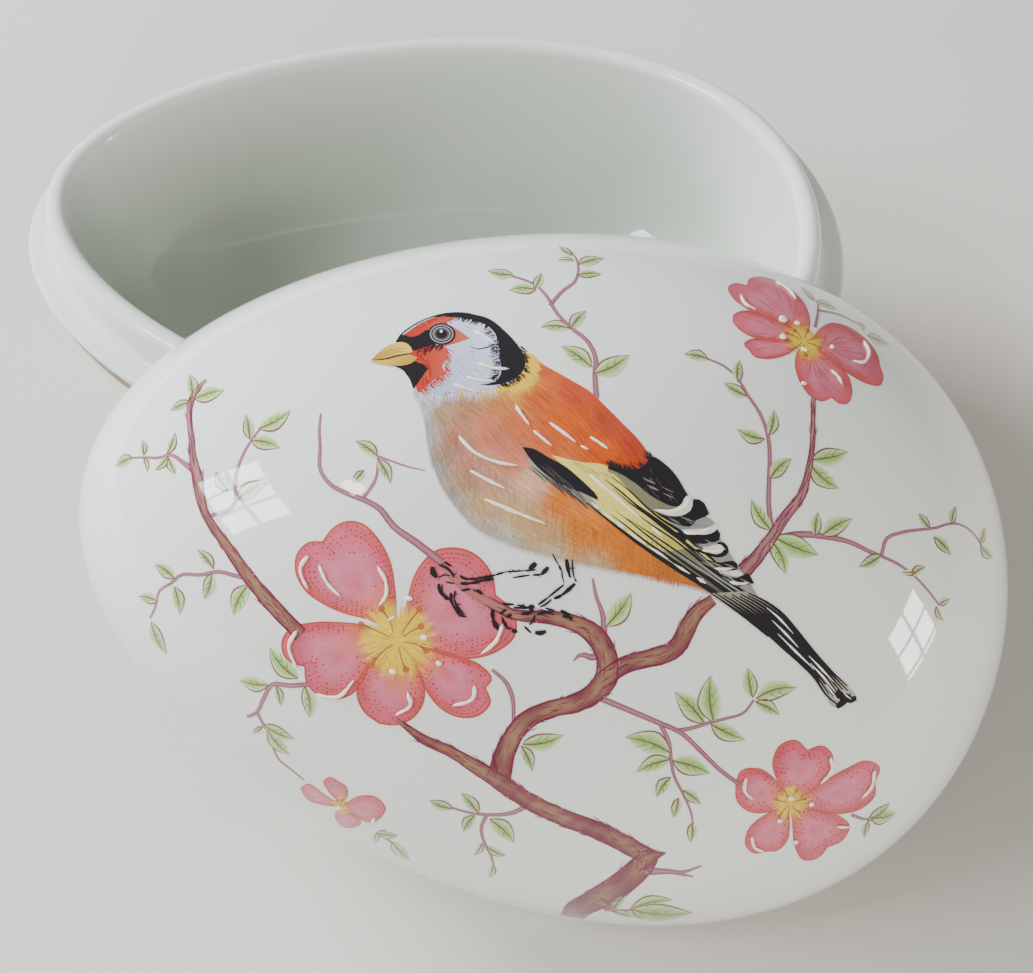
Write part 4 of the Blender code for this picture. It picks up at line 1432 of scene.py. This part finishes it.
# %% The wing
YELLOW = ink(226, 212, 112)
YELLOW_DEEP = ink(190, 176, 86)
SOOT = ink(58, 52, 52)
WING_GREY = ink(150, 146, 132)
TIP_WHITE = ink(236, 236, 232)
OLIVE = ink(124, 124, 98)
SLATE = ink(150, 150, 148)
wing = Sheet(LIFTS["wing"])
WING_FIELDS = [
    (SLATE, [(7, 8), (10, 7.6), (13, 7.2), (15.6, 6.8), (16.4, 5.4), (17.6, 4), (18.8, 2.8),
             (20.4, 1.2), (22, -0.6)],
     [(7, 6), (10, 5), (12.4, 4), (14.6, 3), (16.6, 1.8), (18.4, 0.8), (20, 0), (21, -0.4),
      (22, -0.6)]),
    (YELLOW, [(-2.2, 10.7), (0.8, 10.5), (3.8, 10.5), (5.4, 9.3), (8, 7.5), (11, 5.9),
              (14, 4), (16.4, 2.6)],
     [(-2.2, 10.7), (0, 9.2), (1.6, 7.6), (3.2, 6), (6, 4.4), (9, 2.9), (12.4, 1.5),
      (16.4, 2.6)]),
    (WING_GREY, [(-3.8, 8.8), (-2, 7.8), (0.2, 7.1), (2.2, 6.4), (3.8, 5.6)],
     [(-4.8, 10), (-2.2, 9.4), (0, 8.4), (1.8, 7.6), (3.8, 5.9)]),
    (OLIVE, [(3.8, 10.3), (5.4, 10), (7, 9.3), (8.6, 8.5), (10.4, 8), (12.2, 7.8)],
     [(3.8, 10), (5.6, 9), (7.4, 7.7), (9, 6.7), (10.6, 6.7), (12.2, 7.6)]),
    (BLACK, [(3.8, 10.7), (6, 10.5), (7.5, 11.2), (8.1, 12.4), (9.5, 11.9), (11, 10.8),
             (12, 9.6), (12.6, 8.9)],
     [(3.8, 10.3), (5.4, 9.9), (7, 9.2), (8.6, 8.3), (10, 7.8), (11.4, 7.6), (12.2, 8),
      (12.6, 8.9)]),
    (BLACK, [(9, 6.8), (11, 6.5), (12.4, 6.9), (13.1, 7.7), (13.2, 8.8), (14.2, 8.6), (15, 7.5)],
     [(9, 6.8), (10.6, 6.1), (12, 5.8), (13.4, 5.9), (13.8, 6.7), (14.5, 7), (15, 7.5)]),
    (TIP_WHITE, [(9.2, 6.95), (11, 7.25), (12, 8), (12.3, 8.9), (12.8, 9.05)],
     [(9.2, 6.85), (11, 6.6), (12.3, 6.9), (13, 7.5), (13.1, 8.5), (12.8, 9.05)]),
    (BLACK, [(11.4, 5), (13.4, 5.1), (15.2, 5.4), (16, 6.1), (16.4, 5.9), (16.5, 5)],
     [(11.4, 5), (13.2, 4.4), (15, 4.3), (15.9, 4.7), (16.2, 4.7), (16.5, 5)]),
    (TIP_WHITE, [(12, 5.25), (13.5, 5.6), (15, 6), (16, 6.6), (16.2, 6.3)],
     [(12, 5.15), (13.5, 5.15), (15, 5.3), (15.9, 5.8), (16.2, 6.3)]),
    (BLACK, [(14, 3.6), (15.6, 3.9), (16.8, 4.9), (17.4, 4.6), (17.7, 4)],
     [(14, 3.5), (15.6, 3.2), (16.8, 3.2), (17.4, 3.5), (17.7, 4)]),
    (TIP_WHITE, [(14.2, 3.8), (15.6, 4.2), (16.6, 4.6), (17.2, 4.2)],
     [(14.2, 3.7), (15.6, 3.5), (16.8, 3.6), (17.2, 4.2)]),
    (BLACK, [(13.6, 3.2), (15.4, 2.8), (17, 2.7), (18.2, 3.1), (18.7, 3), (18.9, 2.4)],
     [(13.6, 3.1), (15.2, 2.4), (16.8, 2), (18, 2), (18.6, 2.1), (18.9, 2.4)]),
    (TIP_WHITE, [(16.6, 1.7), (18, 2), (19.2, 2.2), (19.6, 1.9)],
     [(16.6, 1.6), (18, 1.6), (19.2, 1.6), (19.6, 1.9)]),
    (BLACK, [(15.8, 1.6), (17.6, 1.4), (19.2, 1.5), (20, 2.1), (20.5, 1.7), (20.9, 1.2)],
     [(15.8, 1.5), (17.6, 0.7), (19.2, 0.5), (20, 0.9), (20.5, 1), (20.9, 1.2)]),
    (BLACK, [(-5.3, 11), (-4.3, 11.05), (-2.5, 10.4), (-0.5, 9.7), (1, 8.8), (2.2, 7.9),
             (3.4, 6.8)],
     [(-5.3, 11), (-4.3, 9.9), (-3.0, 8.9), (-1.5, 8.1), (0.2, 7.6), (1.7, 7.3), (3.4, 6.8)]),
]
for colour, first, second in WING_FIELDS:
    wing.next_film()
    panel(wing, first, second, two_tone(colour, colour * 0.86, -0.8, 4.0, (6, 6)), step=0.6)
wing.next_film()

# %% The long feathers
QUILLS_TOP = [(9, 5.6), (11.5, 4.9), (14, 3.6), (16.5, 2), (19.5, 0.3), (22, -0.9)]
QUILLS_LOW = [(2.2, 6.5), (3.6, 5.7), (6, 4.4), (9, 2.9), (12, 1.6), (16, 0), (20, -1.9),
              (23.5, -3.7)]
QUILL_LINES = [
    [(4.3, 9.5), (6.5, 8.3), (8.4, 7), (10.2, 6), (12.4, 5.1), (14.4, 3.9), (16.4, 2.7)],
    [(3.6, 9.1), (5.2, 8.3), (7.2, 7.1), (8.8, 6.3), (11, 5.2), (13, 4.3)],
    [(4.6, 8.4), (6.5, 7.2), (8.4, 6.3), (10.5, 5.2), (12.6, 4.2), (14.6, 3.1), (17, 1.8)],
    [(7.4, 6.2), (9, 5.4), (11.5, 4.3), (13.8, 3.1), (16, 1.9), (18, 1), (20.5, -0.1)],
    [(6.6, 5.5), (9, 4.5), (11.5, 3.4), (14, 2.2), (16.4, 1), (19, -0.1), (21.6, -1.2)],
    [(5.2, 6.1), (7, 5.2), (9, 4.1), (11.2, 3), (13.5, 1.9), (16, 0.8), (19, -0.6), (22, -2)],
    [(4.7, 5.7), (6.5, 4.8), (8.5, 3.7), (10.6, 2.7), (13, 1.6), (15.6, 0.5)],
    [(0.8, 8.9), (2, 8), (3.2, 7)],
]
QUILL_SHADE = [(9, 3.2), (12, 2), (16, 0.2), (20, -1.7), (23.5, -3.7)]
panel(wing, QUILLS_TOP, QUILL_SHADE, two_tone(OLIVE, BLACK, -0.5, 5.5, (16.5, 1.2)), step=0.6)
panel(wing, [(8, 6.4), (10, 5.4), (12, 4.5), (13.4, 3.6)],
      [(3.6, 5.9), (7, 4.4), (10.6, 2.8), (13.4, 3.6)],
      two_tone(YELLOW, YELLOW_DEEP, -0.5, 3, (9, 4.6)), step=0.6)
wing.next_film()
for line in QUILL_LINES:
    stroke(wing, line, (0.05, 0.16, 0.2, 0.3, 0.42, 0.2), BLACK, step=0.6)
wing.next_film()
for line in QUILL_LINES[3:6]:
    middle_line = [(x + 0.25, y + 0.3) for x, y in line[3:]]
    stroke(wing, middle_line, (0.03, 0.16, 0.12, 0.03), SLATE, step=0.6)
edge = even_path(QUILLS_LOW, 60)
wing.next_film()
stroke(wing, edge[::6] - (0, 0.1), (0.12, 0.3, 0.45, 0.55, 0.6, 0.7), BLACK, step=0.6)
wing.next_film()
start = 1
while start < 36:
    long = int(chance.integers(3, 8))
    dash = edge[start:start + long + 1] + (0.1, 0.2 + chance.uniform(-0.06, 0.06))
    stroke(wing, dash, (0.06, chance.uniform(0.24, 0.42), 0.06), TIP_WHITE, step=0.5)
    start += long + int(chance.integers(0, 3))
SCRATCHED = [((4.6, 10.2), (12, 8.4)), ((10.2, 6.2), (14.6, 6.6)), ((12.8, 4.1), (17, 4.6)),
             ((15, 2.5), (18.3, 2.6)), ((16.8, 1.1), (20.3, 1.2))]
for first, second in np.array(SCRATCHED):
    for _ in range(7):
        share = chance.uniform(0.05, 0.75)
        root = between(first, second, share) + chance.uniform(-0.5, 0.5, 2)
        stroke(wing, [root, root + (0.7, -0.2), root + (1.3, -0.35)], (0.02, 0.1, 0.02),
               WING_GREY * chance.uniform(0.5, 1.2), step=0.5)
hairs(wing, [(4, 10.6), (6, 10.5), (7.5, 11.1), (8.1, 12.3)], 60, 0.9, 140, (BLACK, BLACK * 2), 0.13)
hairs(wing, [(0, 10.4), (3, 9.8), (4.6, 9.7)], 36, 1.6, -30,
      (YELLOW_DEEP, YELLOW_DEEP * 0.8, YELLOW * 1.08), 0.12, 0.08)
for _ in range(26):
    x = chance.uniform(-4.6, 0.4)
    y = 10.4 - (x + 4.6) * 0.42 + chance.uniform(-1.5, 0.0)
    shade = SOOT * chance.uniform(0.6, 2.4)
    stroke(wing, [(x, y), (x + 1.2, y - 0.6), (x + 2.3, y - 1.4)], (0.03, 0.14, 0.03), shade)
for _ in range(30):
    x, y = chance.uniform(7.4, 11.8), chance.uniform(8.2, 11.2)
    if y < 18.6 - 0.85 * x and y > 12.2 - 0.42 * x:
        stroke(wing, [(x, y), (x + 0.5, y - 0.5)], (0.1, 0.02), SOOT * 1.8, step=1)

# %% The tail and the legs
TAIL_TOP = [(20, 0.2), (23, -0.7), (24.2, -1.3), (26.2, -2.8), (28.5, -4.7), (31, -6.5),
            (33.8, -8.2), (34.6, -8.8)]
TAIL_LOW = [(16.5, -0.6), (19.5, -1.9), (23, -3.6), (26, -5.4), (28.5, -6.9), (30.5, -8.5),
            (32.3, -10.3), (32.9, -10.1)]
panel(wing, TAIL_TOP, TAIL_LOW,
      two_tone(WING_GREY * 0.9, WING_GREY * 1.25, -0.7, 8, (26, -5)), step=0.6)
wing.next_film()
upper, lower = even_path(TAIL_TOP, 40), even_path(TAIL_LOW, 40)
for k in range(9):
    begin, finish = chance.integers(0, 3), 41 - int(chance.integers(0, 3))
    line = between(upper, lower, k / 8)[begin:finish:5]
    stroke(wing, line, (0.12, 0.34, 0.36, 0.3, 0.14), BLACK, step=0.8)
wing.next_film()
for share, first, last in (
        (0.2, 8, 20), (0.45, 12, 24), (0.7, 16, 30), (0.35, 24, 34), (0.6, 26, 38)):
    line = between(upper, lower, share)[first:last:3]
    stroke(wing, line, (0.04, 0.24, 0.04), TIP_WHITE, step=0.7)
TAIL_END = [
    ([(34.5, -8.9), (33.8, -9.2), (33.2, -8.9)], (0.5, 0.8, 0.7), BLACK, 0.3),
    ([(33.3, -9), (32.9, -9.7), (32.4, -10.2)], (0.9, 0.8, 0.5), BLACK, 0.3),
    ([(32, -8.6), (33, -9), (33.8, -8.9)], (0.7, 0.9, 0.6), BLACK, 0.4),
    ([(33.9, -9.1), (33.4, -8.9), (32.7, -8.4)], (0.05, 0.16, 0.04), TIP_WHITE, 0.3),
    ([(32.3, -9.4), (31.5, -8.7), (30.6, -8)], (0.05, 0.2, 0.05), TIP_WHITE, 0.5),
]
for number, (line, widths, colour, step) in enumerate(TAIL_END):
    if number == 3:
        wing.next_film()
    stroke(wing, line, widths, colour, step=step)

LEGS = [
    (0.5, [(-1.9, -0.6), (-2.2, -1), (-2.5, -1.4)]),
    (0.2, [(-1.8, -1.3), (-3.4, -1.7), (-4.7, -2), (-6, -2.6), (-7, -3), (-8.4, -3.4)]),
    (0.4, [(-0.6, -0.8), (-0.9, -1.3), (-1.2, -1.7)]),
    (0.18, [(-1.2, -1.7), (-2.5, -2), (-4, -2.5)]),
    (0.26, [(-5.9, -2.9), (-7, -3.3), (-8.2, -3.8), (-9.2, -4)]),
    (0.3, [(-9.4, -3.2), (-9, -3.4), (-8.4, -3.4)]),
    (0.24, [(-11.2, -2.1), (-10.4, -2.4)]),
    (0.22, [(-11.7, -2.5), (-10.8, -2.7), (-10.2, -3.2), (-10, -3.5)]),
    (0.5, [(-12.3, -2.8), (-12.2, -3.3), (-11.7, -3.8)]),
    (0.16, [(-11.5, -3.8), (-11, -3.4), (-10.4, -3.4)]),
    (0.36, [(-11.4, -4.4), (-11.2, -5), (-10.8, -5.5), (-10.1, -5.8)]),
    (0.18, [(-11, -4.4), (-10.9, -5.2), (-10.4, -5.5)]),
    (0.16, [(-10.7, -4.1), (-9.8, -4.1)]),
    (0.36, [(-10, -5.1), (-9.8, -6), (-9.2, -6.7), (-8.6, -7.2), (-7.8, -7.25)]),
    (0.2, [(-9.6, -4.8), (-9.5, -5.8), (-9, -6.5), (-8.3, -7.05)]),
    (0.24, [(-9, -4.7), (-8, -4.4), (-7.5, -4.5)]),
    (0.4, [(-7.5, -4.4), (-7.1, -4.5), (-6.8, -4.7)]),
    (0.16, [(-0.4, 0.6), (0.2, -0.2), (0.8, -0.9), (1, -1.6), (1.3, -2.2)]),
    (0.3, [(0.5, -0.5), (0.7, -0.9)]),
    (0.4, [(1.1, 0.3), (1.4, -0.6), (1.8, -1.5)]),
    (0.22, [(1.7, 0.4), (1.9, -0.6), (2.2, -1.4), (2.5, -1.8)]),
    (0.4, [(2.4, -2), (1.7, -2.9), (1, -3.6), (0.5, -3.9)]),
    (0.2, [(1.3, -2.3), (0.4, -3.3), (-0.3, -4.1), (-1, -4.8)]),
    (0.2, [(0.3, -4), (-0.2, -4.6), (-0.8, -5)]),
    (0.2, [(-4.6, -5.3), (-3.4, -5.2), (-2.2, -5.15)]),
    (0.26, [(-3.4, -5.5), (-2.2, -5.3), (-1.3, -5.1)]),
    (0.5, [(-1.9, -5.3), (-1.3, -5)]),
    (0.26, [(-2.5, -6), (-1.8, -5.8), (-1.3, -5.4)]),
    (0.24, [(-0.9, -5.8), (0, -5.4), (0.8, -5.5)]),
    (0.22, [(-0.2, -5), (0.8, -5.1)]),
    (0.34, [(1.4, -5), (2, -5.2), (2.7, -5.7)]),
    (0.2, [(1.7, -5.5), (2.3, -5.6)]),
    (0.4, [(-5.5, -6), (-5.3, -6.9), (-4.9, -7.6), (-4.4, -8)]),
    (0.26, [(-4.7, -6.4), (-4.1, -5.8)]), (0.4, [(-3.9, -6.6), (-3.5, -6.2)]),
    (0.34, [(-4.4, -6.7), (-4, -7.3), (-3.4, -7.8), (-2.6, -7.85)]),
    (0.26, [(-2, -7.2), (-1.2, -7.75)]), (0.2, [(-1.1, -5.9), (-1.2, -6.5), (-1.5, -7)]),
    (0.4, [(-0.8, -7.65), (-0.2, -7.6), (0.3, -7.3)]),
]
for width, line in LEGS:
    path = smooth_path(line, 0.3)[0]
    side = left_of(path)
    begin = 0
    while begin < len(path) - 1:
        finish = min(begin + int(chance.integers(3, 9)), len(path) - 1)
        thick = width * chance.uniform(1.0, 1.5)
        stroke(wing, path[begin:finish + 1], (0.6 * thick, thick, 0.5 * thick), BLACK, step=0.3)
        begin = finish if chance.uniform() < 0.85 else finish + 1
    if path_length(line) > 1.8:
        for i in range(1, len(path) - 1):
            if chance.uniform() < 0.4:
                reach = chance.uniform(-0.45, 0.45)
                tick = [path[i], path[i] + side[i] * reach + (0.12, 0)]
                stroke(wing, tick, (0.16, 0.05), BLACK, step=1)
press(wing, "bird_wing_tail_legs", fired_ink)

# %% [markdown]
# ## Raised white enamel
#
# Last, the painter went over the print with thick white enamel from a fine brush: tapered
# strokes where a petal or feather should shine, and dots on the stamens. A stroke is a grid
# rolled into a flattened tube. Its ends shrink to points that are welded shut, and its
# underside just dips into the glaze, so it stands up as a low ridge that catches the light.

# %% Enamel strokes
ENAMEL_STROKES = [
    [(-18, -3.7), (-16.9, -5), (-16.6, -6.5), (-17.2, -7.8)],
    [(-25.3, -3.7), (-26, -5.2), (-24.8, -7.4)], [(-25.3, -11.7), (-26, -13.5), (-24.8, -15.8)],
    [(-22.5, -18.2), (-20, -18), (-18.4, -15.7)], [(-12.8, -16), (-12.2, -17.3), (-13.7, -18.8)],
    [(-6, -14), (-5.9, -15.4), (-8, -16.7)], [(-4.2, -7.3), (-4.6, -9.2), (-6, -10.9)],
    [(-24.1, -4.6), (-22.9, -6.3), (-21.2, -7.5)],
    [(-16.1, -9.1), (-15.2, -8.4)],
    [(-6.8, 15.4), (-5.9, 14.4), (-4.9, 13.4)], [(-4.5, 13), (-3.4, 12.3), (-2.2, 11.6)],
    [(-3, 14.1), (-1.4, 13.3), (0.2, 12.4)], [(0.6, 12.2), (1.6, 11.9)],
    [(1.4, 13.3), (2.6, 12.8), (3.6, 12.3)], [(-12.1, 11.1), (-10, 9.6), (-7.5, 9), (-5.3, 9)],
    [(-10.3, 7.7), (-8.3, 7.0), (-6.2, 6.4)], [(-8.3, 5), (-4, 4), (-1.5, 3.5)],
    [(-12.6, 23), (-11.2, 22.5), (-9.9, 21.7)], [(-11.5, 19.3), (-9.6, 19), (-8, 19.2)],
    [(-12.5, 17.6), (-11, 17.4), (-9.3, 17.6)], [(-13.6, 16.6), (-12.2, 16.3), (-10.8, 16.1)],
    [(2, 9.4), (5, 7.6), (8.2, 5.6)], [(9.2, 5.1), (10.6, 4.3)],
    [(9.6, 6.9), (11.3, 7.1), (12.4, 7.9), (12.8, 8.9)], [(12.6, 5.1), (14.3, 5.4), (15.6, 6.3)],
    [(14.8, 3.6), (16.2, 3.8), (17.3, 4.2)], [(16.4, 2), (17.5, 2.1), (18.5, 2.4)],
    [(18.2, 0.9), (19.4, 0.9), (20.4, 1.2)],
    [(20.5, 36.4), (22.1, 35.5), (22.9, 34.2)], [(16, 33.2), (16.6, 32), (18, 31.4)],
    [(31.2, 31), (31.8, 29.5), (31, 28), (29.5, 27.8)], [(26.8, 26), (27.8, 25.3), (28.3, 24.4)],
    [(32.9, -15.5), (33.5, -17), (32.5, -18.8)], [(26.3, -25.5), (27, -26.8), (28.5, -27.3)],
    [(36, -23.4), (37.9, -23.3)], [(38.7, -16.3), (38.9, -18.5), (38, -19.9)],
    [(24, -19), (24.2, -20.6), (25.4, -21.4)],
    [(-14.2, -31), (-14.7, -32.3)],
]
ENAMEL_DOTS = [
    (-14.2, -6.4, 0.28), (-12, -10.1, 0.3), (-10, -12.5, 0.26), (-14.6, -14.2, 0.28),
    (21.1, 31, 0.42), (22.8, 30.9, 0.24), (21.1, 28.7, 0.32), (23.6, 27.7, 0.26),
    (27, 28.9, 0.22), (23.7, 23.6, 0.22), (29.6, -20.7, 0.26), (32.1, -21.1, 0.26),
    (29, -23.4, 0.24), (31.6, -25.7, 0.24), (-18.5, -31, 0.22),
]
ENAMEL_SIDES = 8
ENAMEL_RISE = 0.18
DOT_RISE = 0.17
DOT_STRETCH = 1.3
raised = Sheet(LIFTS["enamel"])


def enamel_stroke(points, width, height):
    path = smooth_path(points, 0.4)[0]
    side = left_of(path)
    share = np.linspace(0, 1, len(path))
    wobble = 1 + 0.16 * np.sin(share * 9 + path[0, 0]) + 0.1 * np.sin(share * 21 + path[0, 1])
    body = np.sqrt(np.clip(1 - (2 * share - 1) ** 4, 0, 1)) * (0.62 + 0.38 * (1 - share)) * wobble

    def place(i, v):
        roll_angle = (v + 1) * math.pi
        aside = np.cos(roll_angle) * body[i] * width / 2
        rise = np.sin(roll_angle) * body[i] * height
        flat = path[i] + side[i] * aside[:, None]
        return np.concatenate([flat, rise[:, None]], axis=1)

    raised.patch(len(path) - 1, ENAMEL_SIDES, place, TIP_WHITE, weld=True)


for points in ENAMEL_STROKES:
    long = path_length(points)
    enamel_stroke(points, 0.27 + 0.05 * min(long, 4), ENAMEL_RISE)
for x, y, size in ENAMEL_DOTS:
    made = bmesh.ops.create_uvsphere(raised.bm, u_segments=12, v_segments=8, radius=1)
    for vert in made["verts"]:
        lump = size * (1 + 0.12 * math.sin(3 * vert.co.x + x))
        vert.co = (x + vert.co.x * lump * DOT_STRETCH, y + vert.co.y * lump,
                   raised.lift + vert.co.z * DOT_RISE)
press(raised, "raised_enamel", enamel, film=False)

# %% [markdown]
# ## The table, the light and the camera
#
# The box stands on a plain pale table. One large soft lamp above and behind on the left
# does most of the work, a weaker warm one fills from the right, and three small bright panels
# are there only to be seen in the glaze. A reflection appears where the surface normal lies
# halfway between the lamp and the eye, so each panel is placed by mirroring the line of
# sight at the point of the lid where its reflection should be.

# %% The camera
EYE_FROM_BASE = (41.2, -147.58, 186.01)
LINE_OF_SIGHT = (-0.1186, 0.5727, -0.8111)
ROLL = -3.161
eye = base_place.translation + Vector(EYE_FROM_BASE) * METRES
forward = Vector(LINE_OF_SIGHT).normalized()
right = forward.cross(Vector((0, 0, 1))).normalized()
up = right.cross(forward)
cosine, sine = math.cos(math.radians(ROLL)), math.sin(math.radians(ROLL))
right, up = right * cosine + up * sine, up * cosine - right * sine
camera_data = bpy.data.cameras.new("camera")
camera_data.lens = 53.14
camera_data.sensor_width = 36
camera_data.clip_start = 0.01
camera = bpy.data.objects.new("camera", camera_data)
camera.matrix_world = Matrix((
    (right.x, up.x, -forward.x, eye.x),
    (right.y, up.y, -forward.y, eye.y),
    (right.z, up.z, -forward.z, eye.z),
    (0, 0, 0, 1)))
bpy.context.scene.collection.objects.link(camera)
bpy.context.scene.camera = camera

# %% The table
table_mesh = bpy.data.meshes.new("table")
bm = bmesh.new()
bmesh.ops.create_grid(bm, x_segments=1, y_segments=1, size=6)
bm.to_mesh(table_mesh)
bm.free()
table_finish = bpy.data.materials.new("pale_table")
table_finish.use_nodes = True
tree = table_finish.node_tree
tree.links.new(
    mixed(tree, noise(tree, 6), srgb(206, 200, 193), srgb(214, 209, 203)),
    tree.nodes["Principled BSDF"].inputs["Base Color"])
tree.nodes["Principled BSDF"].inputs["Roughness"].default_value = 0.6
table_mesh.materials.append(table_finish)
table = bpy.data.objects.new("table", table_mesh)
bpy.context.scene.collection.objects.link(table)

# %% The lamps
def lamp(name, place, target, size, power, colour, height=None):
    """A rectangular area lamp at a place, facing a target."""
    data = bpy.data.lights.new(name, "AREA")
    data.shape = "RECTANGLE"
    data.size = size
    data.size_y = height or size
    data.energy = power
    data.color = colour
    made = bpy.data.objects.new(name, data)
    aim = (Vector(target) - Vector(place)).to_track_quat("-Z", "Y")
    made.matrix_world = Matrix.Translation(place) @ aim.to_matrix().to_4x4()
    bpy.context.scene.collection.objects.link(made)
    return made


def glint(name, x, y, distance, size, panes, power, colour):
    """A window of bright panes whose reflection is seen at a point of the lid's plan."""
    xs, ys = np.array([float(x)]), np.array([float(y)])
    spot = lid_place @ (Vector((x, y, float(dome_height(xs, ys)[0]))) * METRES)
    normal = lid_place.to_3x3() @ Vector(dome_normal(xs, ys)[0])
    sight = (spot - eye).normalized()
    bounce = sight - 2 * sight.dot(normal) * normal
    centre = spot + bounce * distance
    facing = (spot - centre).to_track_quat("-Z", "Y").to_matrix()
    wide, tall = size[0] / panes[0], size[1] / panes[1]
    for column in range(panes[0]):
        for row in range(panes[1]):
            shift = facing @ Vector((
                (column + 0.5) * wide - size[0] / 2, (row + 0.5) * tall - size[1] / 2, 0))
            lamp("%s_%d%d" % (name, column, row), centre + shift, spot + shift, wide * 0.86,
                 power / (panes[0] * panes[1]), colour, tall * 0.86)


middle = Vector((0, 0, 0.03))
key = lamp("soft_key", (-0.75, 0.3, 0.48), middle, 0.4, 19.5, (0.95, 0.975, 1.0))
fill = lamp("warm_fill", (0.5, -0.85, 0.45), middle, 0.7, 8.2, (1.0, 0.965, 0.84))
for soft in (key, fill):
    soft.visible_glossy = False
glint("left_window", -34, 1, 0.9, (0.34, 0.3), (3, 2), 6, (0.88, 0.95, 1.0))
glint("right_window", 41, -2, 0.9, (0.2, 0.3), (2, 3), 3.6, (1.0, 0.97, 0.92))
glint("warm_lamp", -22, 4, 0.9, (0.09, 0.06), (1, 1), 0.35, (1.0, 0.78, 0.42))

world = bpy.data.worlds.new("studio")
bpy.context.scene.world = world
world.use_nodes = True
world.node_tree.nodes["Background"].inputs["Color"].default_value = (0.93, 0.95, 1.0, 1)
world.node_tree.nodes["Background"].inputs["Strength"].default_value = 0.25
